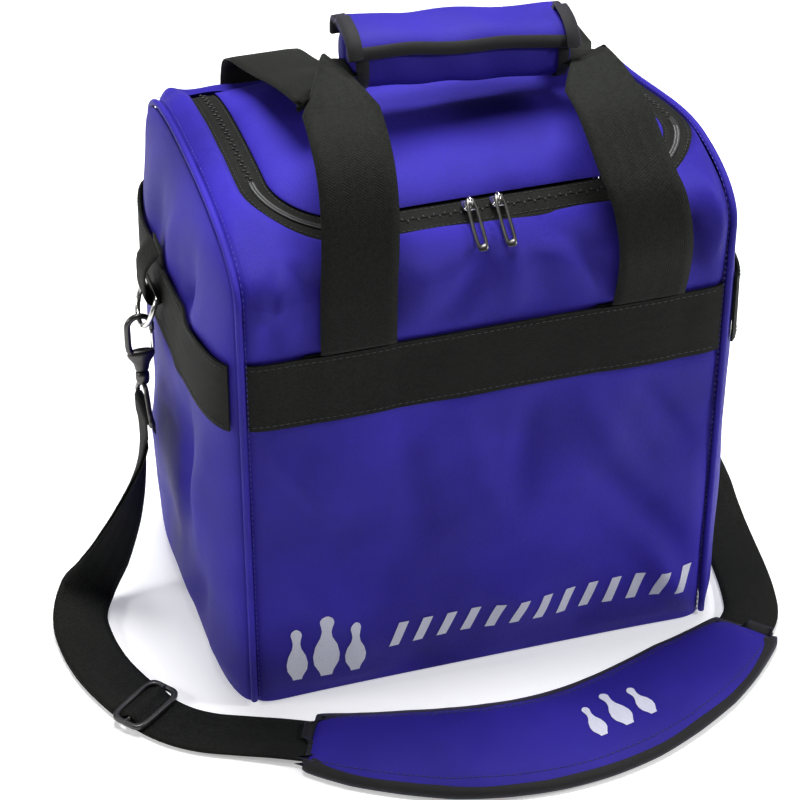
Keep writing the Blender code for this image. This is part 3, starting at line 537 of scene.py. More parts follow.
# (x, s) of both ends, half width and height, in metres; a negative height is a valley
WALL_FOLDS = (
    (-0.150, 0.215, -0.095, 0.140, 0.010, 0.0022), (-0.060, 0.222, -0.045, 0.110, 0.012, -0.0020),
    (-0.020, 0.222, 0.010, 0.125, 0.011, 0.0020), (0.030, 0.220, 0.022, 0.130, 0.009, -0.0016),
    (0.060, 0.222, 0.110, 0.120, 0.012, 0.0022), (0.100, 0.215, 0.145, 0.150, 0.009, -0.0018),
    (-0.140, 0.120, -0.080, 0.030, 0.013, 0.0018), (0.080, 0.150, 0.150, 0.050, 0.013, -0.0020),
    (-0.020, 0.090, 0.060, 0.020, 0.014, 0.0014), (0.110, 0.085, 0.150, 0.010, 0.010, 0.0020),
    (-0.150, 0.300, -0.128, 0.345, 0.008, 0.0026), (0.000, 0.335, -0.030, 0.285, 0.010, -0.0026),
    (0.012, 0.335, 0.020, 0.283, 0.009, 0.0022), (0.035, 0.330, 0.075, 0.285, 0.011, 0.0028),
    (-0.045, 0.330, -0.050, 0.285, 0.010, 0.0018), (0.140, 0.285, 0.125, 0.345, 0.010, -0.0026),
    (0.150, 0.300, 0.150, 0.350, 0.007, 0.0026), (-0.138, 0.283, -0.150, 0.330, 0.007, -0.0020),
)


def rumple(x, y, z, scale, height):
    return height * noise.noise(Vector((x * scale, y * scale, z * scale)))


def strip_lift(x, s):
    """How far the cloth stands off the plain outline at a place on the strip."""
    from_front = min(s, STRIP_LENGTH - s)
    seam = 1 - math.exp(-(SEAM_X - min(abs(x), SEAM_X)) / 0.0055)
    wall = math.sin(math.pi * min(1.0, from_front / 0.227)) if from_front < 0.227 else 0.0
    upper = math.sin(math.pi * min(1.0, max(0.0, (from_front - 0.277) / 0.075)))
    belly = 0.0050 * wall ** 0.8 * (1 - (x / SEAM_X) ** 4) if wall > 0 else 0.0
    lift = belly + 0.0022 * upper
    held = ease(0.218, 0.230, from_front) * (1 - ease(0.274, 0.286, from_front))
    side = 1.0 if s < STRIP_LENGTH / 2 else -1.0
    folds = 2.6 * sum(ridge(x * side, from_front, line) for line in WALL_FOLDS)
    folds += rumple(x, side, from_front, 15.0, 0.0048) + rumple(x, from_front, side, 38.0, 0.0011)
    under_strap = max(0.0, 1 - abs(abs(x - 0.006) - 0.095) / 0.034) * ease(0.270, 0.280, from_front)
    folds *= (1 - held) * (1 - 0.8 * min(1.0, under_strap * 1.5))
    lift *= 1 - 0.6 * min(1.0, under_strap)
    cushion = 0.0026 * seam * math.exp(-(SEAM_X - min(abs(x), SEAM_X)) / 0.030) * (1 - held)
    return -0.0034 * (1 - seam) + cushion + (lift + folds) * seam * ease(0.0, 0.012, from_front)


def slump(point):
    """Slow changes of the whole shape: the rear right corner of the top sinks a little."""
    x, y, z = point
    sink = ease(0.24, 0.345, z) * ease(0.105, 0.160, x) * ease(-0.060, 0.070, y)
    front = ease(0.25, 0.34, z) * ease(0.09, 0.16, x) * (1 - ease(-0.10, -0.02, y))
    return Vector((x - 0.004 * sink, y, z - 0.017 * sink + 0.002 * front))


def on_strip(x, s, off=0.0):
    """A point of the strip's outer face, a little above it if asked."""
    y = float(np.interp(s, LINE_RUN, LINE_Y))
    z = float(np.interp(s, LINE_RUN, LINE_Z))
    a, b = s - 0.003, s + 0.003
    dy = float(np.interp(b, LINE_RUN, LINE_Y) - np.interp(a, LINE_RUN, LINE_Y))
    dz = float(np.interp(b, LINE_RUN, LINE_Z) - np.interp(a, LINE_RUN, LINE_Z))
    size = math.hypot(dy, dz)
    ny, nz = -dz / size, dy / size
    lift = strip_lift(x, s) + off
    return slump((x, y + ny * lift, z + nz * lift))


print("strip over the bag:", round(STRIP_LENGTH, 3), "m long")

# %% [markdown]
# The front and the back are plain rectangles cut from the strip. The rows of each panel run from seam
# to seam, closer together near the seams, where the cloth curves most.

# %% Front and back panels
ACROSS = [SEAM_X * math.sin(math.pi / 2 * k) for k in np.linspace(-1, 1, 97)]
for name, start, end, facing in (("front_panel", 0.0, FRONT_END, (0, -1, 0)),
                                 ("back_panel", BACK_START, STRIP_LENGTH, (0, 1, 0))):
    rows = [[on_strip(x, s) for x in ACROSS] for s in np.linspace(start, end, 92)]
    wall = sheet(name + "_cloth", rows, VIOLET, CLOTH_THICK, facing, LINING)
    settle(wall, "bag", "fabric", name)
    print(wall.name, len(wall.data.vertices), "points")

# %% [markdown]
# ## Top, zip and lid
# The lid is cut out of the top by a zip with two round corners. The cloth left over runs as a ring
# between the zip and the side seams, so it is built as a ring: from the zip's edge out to the seams.

# %% Where the zip runs
ZIP_X = 0.140
ZIP_FRONT = -0.093
ZIP_CORNER = 0.055
HINGE_Y = 0.0966
TAPE = 0.0085


def zip_line(steps=14, straight=10):
    """Plan of the zip's middle, with its outward direction, from the back left round to the back right."""
    bend_y, bend_x = ZIP_FRONT + ZIP_CORNER, ZIP_X - ZIP_CORNER
    half = [(-ZIP_X, 0.094 + (bend_y - 0.094) * i / straight, -1.0, 0.0) for i in range(straight)]
    for i in range(steps + 1):
        x, y = polar(ZIP_CORNER, 180 + 90 * i / steps)
        half.append((-bend_x + x, bend_y + y, *polar(1.0, 180 + 90 * i / steps)))
    half += [(-bend_x * (1 - i / straight), ZIP_FRONT, 0.0, -1.0) for i in range(1, straight)]
    whole = half + [(0.0, ZIP_FRONT, 0.0, -1.0)] + [(-x, y, -nx, ny) for x, y, nx, ny in reversed(half)]
    return [(x + TOP_SHIFT, y, nx, ny) for x, y, nx, ny in whole]


def zip_point(x, y, off):
    """A point on the top along the zip, a little above or below the cloth's line."""
    return slump((x, y, height_at(y) + off))


ZIP = zip_line()

# %% [markdown]
# A ring of rows can go round four corners without a join. Its inner edge is the zip's own line and its
# outer edge the seams, and both are split at the same corners, so that the rows don't slant.

# %% The ring of cloth round the zip
inner_ring = [(x + nx * (TAPE + 0.0006), y + ny * (TAPE + 0.0006)) for x, y, nx, ny in ZIP]
back_y = HINGE_Y + 0.0008
inner_ring[0] = (inner_ring[0][0], back_y)
inner_ring[-1] = (inner_ring[-1][0], back_y)
left_x, right_x = inner_ring[0][0], inner_ring[-1][0]
inner_ring += [(right_x + (left_x - right_x) * k / 24, back_y) for k in range(1, 24)]


def even_points(points, fractions):
    """Points at shares of the way along a line."""
    line = np.array(points, float)
    runs = np.concatenate([[0.0], np.cumsum(np.linalg.norm(np.diff(line, axis=0), axis=1))])
    return [tuple(np.interp(f * runs[-1], runs, line[:, k]) for k in range(line.shape[1])) for f in fractions]


corner = 14 + 10 - 7          # the middle of the front left corner in the zip's list
mirror = len(ZIP) - 1 - corner
sides_in = (inner_ring[:corner + 1], inner_ring[corner:mirror + 1], inner_ring[mirror:len(ZIP)],
            inner_ring[len(ZIP) - 1:] + inner_ring[:1])
corners_out = [(-SEAM_X, BACK_START), (-SEAM_X, FRONT_END), (SEAM_X, FRONT_END), (SEAM_X, BACK_START),
               (-SEAM_X, BACK_START)]
counts = (76, 96, 76, 96)
ring_in, ring_out = [], []
for side_in, start, end, count in zip(sides_in, corners_out, corners_out[1:], counts):
    shares = [k / count for k in range(count)]
    ring_in += [(x, run_at(y)) for x, y in even_points(side_in, shares)]
    if start[1] == end[1]:
        shares = [0.5 - 0.5 * math.cos(math.pi * t) for t in shares]
    ring_out += even_points([start, end], shares)
rows = []
LAYERS = 18
for layer in range(LAYERS + 1):
    v = layer / LAYERS
    ring = []
    for (xi, si), (xo, so) in zip(ring_in, ring_out):
        x, s = xi + (xo - xi) * v, si + (so - si) * v
        top = ease(0.318, 0.345, min(s, STRIP_LENGTH - s))
        calm = 1 - 0.75 * ease(0.075, 0.030, abs(x - 0.004)) * (1 if s < STRIP_LENGTH / 2 else 0)
        roll = 0.0150 * v ** 0.8 * (1 - v) ** 2 * (0.25 + 0.75 * top) * calm
        tuck = -0.0012 * (1 - v) ** 6
        ring.append(on_strip(x, s, roll + tuck))
    rows.append(ring)
surround = sheet("top_surround_cloth", rows, VIOLET, CLOTH_THICK, (0, 0, 1), LINING, closed=True)
settle(surround, "bag", "fabric", "top_surround")

# %% [markdown]
# The zip is two woven tapes with a coil sewn to each edge. Half of it belongs to the bag and half to
# the lid, so each half is its own piece and rides on its own body.

# %% Zip tapes and coils
def zip_tape(name, near, far, body, node):
    columns = [near + (far - near) * k / 4 for k in range(5)]
    rows = [[zip_point(x + nx * d, y + ny * d, -0.0002 - 0.0009 * abs(d) / TAPE) for d in columns]
            for x, y, nx, ny in ZIP]
    flat = np.array([[(d + 0.01, k * 0.012) for d in columns] for k in range(len(ZIP))], float)
    return settle(sheet(name, rows, ZIP_TAPE, 0.0007, (0, 0, 1), flat=flat), body, "webbing", node)


TEETH = 520
# (place across the zip, half width along it, height) of the four sections of one tooth
TOOTH = ((-0.0011, 0.00030, 0.0001), (-0.0006, 0.00044, 0.0005),
         (0.0006, 0.00044, 0.0005), (0.0011, 0.00030, 0.0001))


def zip_coil(name, side, body, node, shift):
    """A row of small rounded teeth along one edge of the zip."""
    plan = even_points(ZIP, [(k + shift) / TEETH for k in range(TEETH)])
    verts, faces = [], []
    for (x, y, nx, ny) in plan:
        out = Vector((nx, ny, 0)).normalized()
        along = Vector((-out.y, out.x, 0))
        middle = zip_point(x + out.x * side * 0.0009, y + out.y * side * 0.0009, 0.0002)
        start = len(verts)
        for a, half, rise in TOOTH:
            for b, up in ((-half, 0.0), (-half, rise), (half, rise), (half, 0.0)):
                verts.append(middle + out * a + along * b + Vector((0, 0, up)))
        for ring in range(3):
            for k in range(4):
                p = start + ring * 4
                faces.append((p + k, p + (k + 1) % 4, p + 4 + (k + 1) % 4, p + 4 + k))
        faces += [(start + 3, start + 2, start + 1, start), (start + 12, start + 13, start + 14, start + 15)]
    return settle(outward_faces(new_piece(name, verts, faces, COIL)), body, "zip_coil", node)


zip_tape("zip_tape_on_bag", 0.0002, TAPE + 0.0012, "bag", "zipper_tape_outer")
zip_tape("zip_tape_on_lid", -0.0002, -TAPE - 0.0012, "lid", "zipper_tape_inner")
zip_coil("zip_coil_on_bag", 1, "bag", "zipper_teeth_outer", 0.0)
zip_coil("zip_coil_on_lid", -1, "lid", "zipper_teeth_inner", 0.5)
for name, off, body in (("tape_stitches_on_bag", TAPE - 0.0014, "bag"),
                        ("tape_stitches_on_lid", -TAPE + 0.0016, "lid")):
    line = [zip_point(x + nx * off, y + ny * off, -0.0004) for x, y, nx, ny in ZIP]
    settle(stitches(name, line, THREAD_BLACK, 0.0024, 0.0012, 0.00026), body, "webbing")
print("zip:", len(ZIP), "places along it")

# %% [markdown]
# The lid is a soft dome. It is lofted in rows from its front edge to the hinge, with a shallow fold
# where the handles have pressed it, and its edge turns down to the tape.

# %% Lid
def lid_height(x, y, across, along):
    dome = (1 - abs(across) ** 3.2) * (1 - abs(along) ** 3.0)
    plump = LID_DOME * dome ** 0.62
    folds = 1.3 * sum(ridge(x, y, line) for line in LID_FOLDS)
    folds += rumple(x, y, 0.0, 13.0, 0.0022) + rumple(x, y, 3.0, 38.0, 0.0005)
    return plump + folds * dome ** 0.5


LID_DOME = 0.0150
LID_FOLDS = (
    (-0.060, 0.010, 0.090, -0.002, 0.009, -0.0030), (-0.050, 0.026, 0.085, 0.016, 0.010, 0.0022),
    (-0.090, -0.070, -0.060, -0.020, 0.012, -0.0026), (0.115, -0.060, 0.095, 0.010, 0.010, -0.0030),
    (-0.125, 0.020, -0.085, 0.070, 0.012, 0.0022), (0.040, -0.075, 0.020, -0.030, 0.014, -0.0014),
    (0.125, 0.030, 0.140, 0.070, 0.008, -0.0026), (-0.020, -0.080, 0.050, -0.078, 0.007, 0.0016),
)
lid_edge = TAPE + 0.0004
bend_y, bend_x = ZIP_FRONT + ZIP_CORNER, ZIP_X - ZIP_CORNER
lid_front, lid_rear = ZIP_FRONT + lid_edge, HINGE_Y - 0.0006
corner_r = ZIP_CORNER - lid_edge
depths = [lid_front + corner_r * (1 - math.cos(math.radians(a))) for a in np.linspace(6, 90, 22)]
depths += [bend_y + (lid_rear - bend_y) * k / 44 for k in range(1, 45)]
rows = []
for y in depths:
    half = bend_x + math.sqrt(max(0.0, corner_r ** 2 - (bend_y - y) ** 2)) if y < bend_y else ZIP_X - lid_edge
    along = (y - (lid_front + lid_rear) / 2) / ((lid_rear - lid_front) / 2)
    row = []
    for k in np.linspace(-1, 1, 81):
        across = math.sin(math.pi / 2 * k)
        x = half * across + TOP_SHIFT
        row.append(slump((x, y, height_at(y) + 0.0003 + lid_height(x, y, across, along))))
    rows.append(row)
lid = sheet("lid_cloth", rows, VIOLET, CLOTH_THICK * 0.8, (0, 0, 1), LINING)
settle(lid, "lid", "fabric", "lid_panel")
print("lid:", len(lid.data.vertices), "points")

# %% [markdown]
# ## Side panels and piping
# Each side swells out between its seams, so the piping lies in a valley. The panel is one sheet,
# full in the middle, drawn in at the seams and creased where the bag has been folded flat.

# %% Side panels
SIDE_X = 0.1641
BULGE = 0.0160
SIDE_FOLDS = (
    (-0.085, 0.300, -0.020, 0.200, 0.012, 0.0034), (-0.060, 0.330, -0.030, 0.240, 0.010, -0.0030),
    (-0.020, 0.335, 0.010, 0.260, 0.013, 0.0026), (0.030, 0.330, 0.050, 0.240, 0.012, -0.0024),
    (-0.095, 0.210, -0.050, 0.090, 0.014, 0.0026), (-0.040, 0.200, -0.010, 0.060, 0.014, -0.0022),
    (0.030, 0.200, 0.060, 0.060, 0.015, 0.0024), (-0.080, 0.090, -0.030, 0.020, 0.014, -0.0018),
)


def half_depth_at(z, inset=0.0034):
    depth = HALF_DEPTH - inset
    if z <= SHOULDER:
        return depth
    part = min(1.0, (z - SHOULDER) / (CROWN - inset - SHOULDER))
    return depth * (1 - part ** POWER) ** (1 / POWER)


def side_place(side, y, z, off=0.0):
    """A point of a side panel's outer face."""
    span = max(half_depth_at(z), 1e-5)
    across = 1 - min(1.0, abs(y) / span) ** 4.5
    upward = 1 - min(1.0, z / (CROWN - 0.0034)) ** 8
    low = ease(0.0, 0.020, z)
    out = (BULGE + 0.0020) * across ** 0.62 * upward ** 0.8
    held = ease(0.216, 0.232, z) * (1 - ease(0.272, 0.288, z))
    folds = 2.4 * sum(ridge(y if side < 0 else -y, z, line) for line in SIDE_FOLDS)
    folds += rumple(y, side * 2.0, z, 16.0, 0.0060) + rumple(y, side, z, 44.0, 0.0005)
    out += folds * across * upward * (1 - 0.9 * held) * low + off
    out = out * (0.75 + 0.25 * low) if off == 0.0 else out
    return slump((side * (SIDE_X - 0.0012 + out), y, z))


top = CROWN - 0.0034
HEIGHTS = [0.001 + (SHOULDER - 0.001) * k / 70 for k in range(71)]
HEIGHTS += [SHOULDER + (top - SHOULDER) * math.sin(math.pi / 2 * k / 16) * 0.998 for k in range(1, 17)]
for name, side in (("left", -1), ("right", 1)):
    rows = []
    for z in HEIGHTS:
        span = half_depth_at(z)
        rows.append([side_place(side, span * math.sin(math.pi / 2 * k), z) for k in np.linspace(-1, 1, 65)])
    wall = sheet(name + "_side_cloth", rows, VIOLET, CLOTH_THICK, (side, 0, 0), LINING)
    settle(wall, "bag", "fabric", name + "_side_panel")
    edge = [(-HALF_DEPTH, 0.003 + 0.315 * k / 40) for k in range(41)]
    arch = [(float(LINE_Y[k]), float(LINE_Z[k])) for k in range(322, 1918, 26)]
    edge = edge + arch + [(-y, z) for y, z in reversed(edge)]
    cord = [slump((side * 0.1613, y * 0.996, z - (0.0006 if z > SHOULDER else 0))) for y, z in edge]
    piping = rope(name + "_piping_cord", cord, 0.0023, VIOLET, 12, side=(1, 0, 0))
    settle(piping, "bag", "fabric", name + "_piping")
    seam = [slump((side * 0.1578, y * 1.0005, z + (0.0022 if z > SHOULDER + 0.02 else 0.0004)))
            for y, z in edge]
    settle(stitches(name + "_seam_stitches", seam, THREAD_VIOLET, 0.0030, 0.0014, 0.00030), "bag", "fabric")
    print(name, "side and piping made")

# %% [markdown]
# ## Base and inside
# The base is a flat cloth panel with a stiff board over it. A ring of foam on the board holds the ball.

# %% Base, board and ball cup
rows = []
for y in np.linspace(-0.1145, 0.1145, 41):
    half = 0.1590 + 0.0130 * (1 - abs(y / 0.1145) ** 3)
    rows.append([(half * k, y, 0.0002 + 0.0004 * abs(k) ** 6) for k in np.linspace(-1, 1, 41)])
base = sheet("base_cloth", rows, VIOLET, 0.0036, (0, 0, -1), LINING)
settle(base, "bag", "fabric", "base_panel")
frame["nodes"]["base_board"].data.materials.clear()
frame["nodes"]["base_board"].data.materials.append(BOARD)
BALL_R, BALL_Z = 0.1085, 0.1198
profile = [(0.036, 0.0079), (0.060, 0.0079), (0.081, 0.0079), (0.0825, 0.0095), (0.0818, 0.0230),
           (0.0795, 0.0262), (0.0760, 0.0272), (0.0715, 0.0266)]
profile += [(r, BALL_Z - math.sqrt(BALL_R ** 2 - r * r)) for r in np.linspace(0.068, 0.038, 9)]
verts = [(r * math.cos(TURN * k / 72), r * math.sin(TURN * k / 72), z) for k in range(72) for r, z in profile]
cup = outward_faces(new_piece("foam_ball_cup", verts, grid_faces(72, len(profile), True, True), FOAM))
settle(cup, "bag", "foam", "ball_cup")
print("base and cup made")

# %% [markdown]
# ## The sewn band
# One length of 50 mm webbing goes round the bag, over the ends of the handles. It follows the cloth
# under it and carries a row of stitches near each edge.

# %% Bands and their stitches
BAND_LOW, BAND_HIGH = 0.227, 0.277
STITCHED_IN = 0.0032
FRONT_REACH = 0.1582
for name, side in (("front", -1), ("back", 1)):
    def band_point(x, z, off=0.0):
        s = z if side < 0 else STRIP_LENGTH - z
        press = 0.0010 * max(0.0, 1 - (abs(abs(x - 0.006) - 0.095) / 0.027) ** 4)
        return on_strip(x, s, 0.0028 + press + off + rumple(x, z, side, 30.0, 0.0004))
    rows = [[band_point(x, z) for x in np.linspace(-FRONT_REACH, FRONT_REACH, 90)]
            for z in np.linspace(BAND_LOW, BAND_HIGH, 11)]
    flat = np.array([[(z - BAND_LOW, x) for x in np.linspace(-0.158, 0.158, 90)]
                     for z in np.linspace(BAND_LOW, BAND_HIGH, 11)], float)
    band = sheet(name + "_band_webbing", rows, WEBBING, 0.0015, (0, side, 0), flat=flat)
    settle(band, "bag", "webbing", name + "_band")
    for row, z in (("lower", BAND_LOW + STITCHED_IN), ("upper", BAND_HIGH - STITCHED_IN)):
        line = [band_point(x, z, 0.0001) for x in np.linspace(-0.156, 0.156, 120)]
        settle(stitches(f"{name}_band_{row}_stitches", line, THREAD_BLACK), "bag", "webbing")

for name, side in (("left", -1), ("right", 1)):
    reach = 0.1155
    rows = [[side_place(side, y, z, 0.0017 + 0.0022) for y in np.linspace(-reach, reach, 60)]
            for z in np.linspace(BAND_LOW, BAND_HIGH, 11)]
    flat = np.array([[(z - BAND_LOW, y) for y in np.linspace(-reach, reach, 60)]
                     for z in np.linspace(BAND_LOW, BAND_HIGH, 11)], float)
    band = sheet(name + "_side_band_webbing", rows, WEBBING, 0.0015, (side, 0, 0), flat=flat)
    settle(band, "bag", "webbing", name + "_side_band")
    for row, z in (("lower", BAND_LOW + STITCHED_IN), ("upper", BAND_HIGH - STITCHED_IN)):
        line = [side_place(side, y, z, 0.0041) for y in np.linspace(-0.113, 0.113, 90)]
        settle(stitches(f"{name}_side_band_{row}_stitches", line, THREAD_BLACK), "bag", "webbing")
for name in ("front_left", "front_right", "back_left", "back_right"):
    foot = frame["nodes"][name + "_handle_foot"]
    foot.data.materials.clear()
    foot.data.materials.append(WEBBING)
print("bands made")

# %% [markdown]
# ## Handles
# Each handle is one length of webbing: up from the top of the band, over the top, folded over itself
# at a corner and along inside the padded grip. The grip's right end hangs a little lower than its left.

# %% Handle webbing
WEB_T = 0.0017
GRIP_Y = -0.006
GRIP_X = 0.0115
GRIP_HALF = 0.0750


def droop(point):
    """The carried end of the handles leans down towards the right."""
    x, y, z = point
    return Vector((x, y, z - 0.088 * max(0.0, x + 0.065) * ease(0.352, 0.402, z)))


FRONT_LEFT = ((-0.0870, -0.1252, 0.2800), (-0.0872, -0.1262, 0.300), (-0.0868, -0.1262, 0.325),
              (-0.0850, -0.1235, 0.350), (-0.0830, -0.1160, 0.374), (-0.0815, -0.1030, 0.394),
              (-0.0805, -0.0840, 0.4075), (-0.0795, -0.0640, 0.4140))
FRONT_RIGHT = ((0.1040, -0.1252, 0.2800), (0.1050, -0.1290, 0.300), (0.1040, -0.1325, 0.325),
               (0.1005, -0.1300, 0.350), (0.0955, -0.1195, 0.375), (0.0925, -0.1040, 0.396),
               (0.0900, -0.0850, 0.4110), (0.0885, -0.0660, 0.4165))
BACK_LEFT = ((-0.0870, 0.1252, 0.2800), (-0.0870, 0.1255, 0.300), (-0.0870, 0.1255, 0.325),
             (-0.0870, 0.1225, 0.344), (-0.0870, 0.1140, 0.3590), (-0.0860, 0.1000, 0.3670),
             (-0.0840, 0.0750, 0.3740), (-0.0815, 0.0450, 0.3830))
WEB_HALF = 0.0245
FOLD_RADIUS = 0.0019
BACK_RIGHT = tuple((0.018 - x, y, z) for x, y, z in BACK_LEFT)


def handle_half(rise, side, fold, tuck, grip_z):
    """Stations of half a handle: the rise, the folded corner, then under it and along the grip."""
    line = smooth_line(rise, 5)
    stations = []
    for i, point in enumerate(line):
        step = line[min(i + 1, len(line) - 1)] - line[max(i - 1, 0)]
        wide = Vector((WEB_HALF, 0, 0))
        face = wide.cross(step).normalized() * (-1 if line[0].y > 0 else 1)
        stations.append((point - wide, point + wide, face))
    one, other = Vector(fold[0]), Vector(fold[1])
    start_a, start_b = Vector(stations[-1][0]), Vector(stations[-1][1])
    for share in (0.25, 0.5, 0.75, 1.0):
        arch = Vector((0, 0, 0.0022 * math.sin(math.pi * share)))
        stations.append((start_a.lerp(one, share) + arch, start_b.lerp(other, share) + arch,
                         Vector((0, 0, 1))))
    along = (other - one).normalized()
    beyond = Vector((0, 0, 1)).cross(along)
    beyond = beyond if beyond.x * side > 0 else -beyond
    for turn in (35, 70, 105, 140, 175):
        t = math.radians(turn)
        shift = beyond * (FOLD_RADIUS * math.sin(t)) - Vector((0, 0, FOLD_RADIUS * (1 - math.cos(t))))
        stations.append((one + shift, other + shift, beyond * math.sin(t) + Vector((0, 0, math.cos(t)))))
    drop = Vector((0, 0, -2 * FOLD_RADIUS))
    inside = GRIP_X + side * (GRIP_HALF - 0.012)
    for share in (0.3, 0.6, 0.85, 1.0):
        a = (one + drop).lerp(Vector((inside, tuck[0], grip_z)), share)
        b = (other + drop).lerp(Vector((inside, tuck[1], grip_z)), share)
        stations.append((a, b, Vector((0, 0, -1))))
    stations.append((Vector((GRIP_X, tuck[0], grip_z)), Vector((GRIP_X, tuck[1], grip_z)),
                     Vector((0, 0, -1))))
    return [(droop(a), droop(b), n) for a, b, n in stations]


def handle(name, left, right, body, node):
    stations = left[:-1] + list(reversed(right[:-1]))
    return settle(strap(name, stations, WEB_T, WEBBING, 8), body, "webbing", node)


front_left = handle_half(FRONT_LEFT, -1, ((-0.0935, -0.0500, 0.4165), (-0.0720, 0.0000, 0.4180)),
                         (-0.0215, -0.0060), 0.4150)
front_right = handle_half(FRONT_RIGHT, 1, ((0.0800, -0.0330, 0.4175), (0.1120, -0.0080, 0.4150)),
                          (-0.0215, -0.0060), 0.4150)
back_left = handle_half(BACK_LEFT, -1, ((-0.0960, -0.0260, 0.3985), (-0.0560, 0.0080, 0.3995)),
                        (0.0020, 0.0120), 0.4080)
back_right = handle_half(BACK_RIGHT, 1, ((0.0760, 0.0220, 0.4030), (0.1060, -0.0020, 0.4020)),
                         (0.0120, 0.0020), 0.4080)
handle("front_handle_webbing", front_left, front_right, "front_handle", "front_handle_web")
handle("back_handle_webbing", back_left, back_right, "back_handle", "back_handle_web")
print("handles:", len(front_left) * 2, "stations each")

# %% [markdown]
# Each handle carries half of a padded grip, and a padded flap folds over both from the back one. Its
# ends and its free edge are bound with black tape, which is a narrow sheet folded round the edge.

# %% Grip halves and flap
def bound_edge(name, edge, inward, faces, width, thick, look, skirt=0.0006, closed=False):
    """Tape folded round an edge: over the top face, round the edge, and back under."""
    rows = []
    for point, into, up in zip(edge, inward, faces):
        p, i, n = Vector(point), Vector(into).normalized(), Vector(up).normalized()
        rows.append([p + i * width + n * thick * 0.82, p + i * width * 0.96 + n * thick * 1.06,
                     p + i * width * 0.5 + n * thick * 1.10, p + n * thick,
                     p - i * skirt + n * thick * 0.5, p - i * skirt * 1.5, p - i * skirt - n * thick * 0.5,
                     p - n * thick, p + i * width * 0.5 - n * thick * 1.05, p + i * width * 0.96 - n * thick])
    tape = sheet(name, rows if not closed else rows + [rows[0]], look, 0.0005, (0, 0, 1))
    return tape


GRIP_MIDDLE, GRIP_HIGH, GRIP_DEEP = 0.4165, 0.0165, 0.0195
GRIP_GAP = 0.0006


def grip_half(name, sign, body, node):
    """One half of the roll: stuffed, with soft ends, and flat where it meets the other half."""
    rows = []
    for i in range(61):
        u = -1 + 2 * i / 60
        x = GRIP_X + (GRIP_HALF - 0.0035) * u
        end = (1 - abs(u) ** 14) ** 0.5 if abs(u) < 1 else 0.0
        end = 0.86 + 0.14 * end
        ring = []
        for k in range(29):
            a = math.radians(-90 + 180 * k / 28)
            c = math.copysign(abs(math.cos(a)) ** 0.75, math.cos(a))
            s = math.copysign(abs(math.sin(a)) ** 0.85, math.sin(a))
            soft = 1 + 0.035 * noise.noise(Vector((x * 40, a * 1.3, sign * 3.0)))
            soft += 0.02 * math.sin(x * 160 + a * 2)
            ring.append(droop((x, GRIP_Y + sign * (GRIP_GAP + GRIP_DEEP * c * end * soft),
                               GRIP_MIDDLE + GRIP_HIGH * s * end * soft)))
        for k in range(1, 8):
            z = GRIP_MIDDLE + GRIP_HIGH * end * (1 - 2 * k / 8)
            ring.append(droop((x, GRIP_Y + sign * GRIP_GAP, z)))
        rows.append(ring)
    points = [p for ring in rows for p in ring]
    size = len(rows[0])
    faces = grid_faces(len(rows), size, False, True)
    faces += [tuple(range(size - 1, -1, -1)), tuple(range((len(rows) - 1) * size, len(rows) * size))]
    flat = [(p.x, p.z + p.y) for p in points]
    roll = outward_faces(new_piece(name, points, faces, VIOLET_PAD, flat))
    settle(roll, body, "fabric", node)
    for end in (-1, 1):
        x = GRIP_X + end * (GRIP_HALF - 0.0060)
        ring = []
        for k in range(25):
            a = math.radians(-90 + 180 * k / 24)
            c, s = abs(math.cos(a)) ** 0.75, math.copysign(abs(math.sin(a)) ** 0.85, math.sin(a))
            ring.append(droop((x, GRIP_Y + sign * (GRIP_GAP + GRIP_DEEP * c * 1.01),
                               GRIP_MIDDLE + GRIP_HIGH * s * 1.01)))
        into = [(-end, 0, 0)] * len(ring)
        out = [(0, sign * math.cos(math.radians(-90 + 7.5 * k)), math.sin(math.radians(-90 + 7.5 * k)))
               for k in range(25)]
        where = "left" if end < 0 else "right"
        tape = bound_edge(f"{name}_tape_{where}", ring, into, out, 0.0065, 0.0009, BINDING)
        settle(tape, body, "binding")


grip_half("front_grip_roll", -1, "front_handle", "front_grip_pad")
grip_half("back_grip_roll", 1, "back_handle", "back_grip_pad")

FLAP_LINE = smooth_line([(0, 0.0225, 0.4235), (0, 0.0220, 0.4310), (0, 0.0185, 0.4365),
                         (0, 0.0100, 0.4385), (0, -0.0010, 0.4388), (0, -0.0110, 0.4375),
                         (0, -0.0180, 0.4335), (0, -0.0215, 0.4270)], 6)
rows = []
for _, dy, z in [tuple(p) for p in FLAP_LINE]:
    row = []
    for u in np.linspace(-1, 1, 61):
        x = GRIP_X + GRIP_HALF * u
        wave = 0.0009 * math.sin(u * 7.0 + dy * 60) + rumple(x, dy, 1.0, 40.0, 0.0010)
        wave += 0.0010 * (1 - u * u) ** 0.5 if abs(u) < 1 else 0.0
        row.append(droop((x, GRIP_Y + dy, z + wave)))
    rows.append(row)
flap = sheet("wrap_flap_cloth", rows, VIOLET_PAD, 0.0034, (0, 0, 1), LINING)
settle(flap, "flap", "fabric", "wrap_flap")
edges = [("left", [row[0] for row in rows], (1, 0, 0)), ("right", [row[-1] for row in rows], (-1, 0, 0)),
         ("front", rows[-1], (0, 0.36, 0.93))]
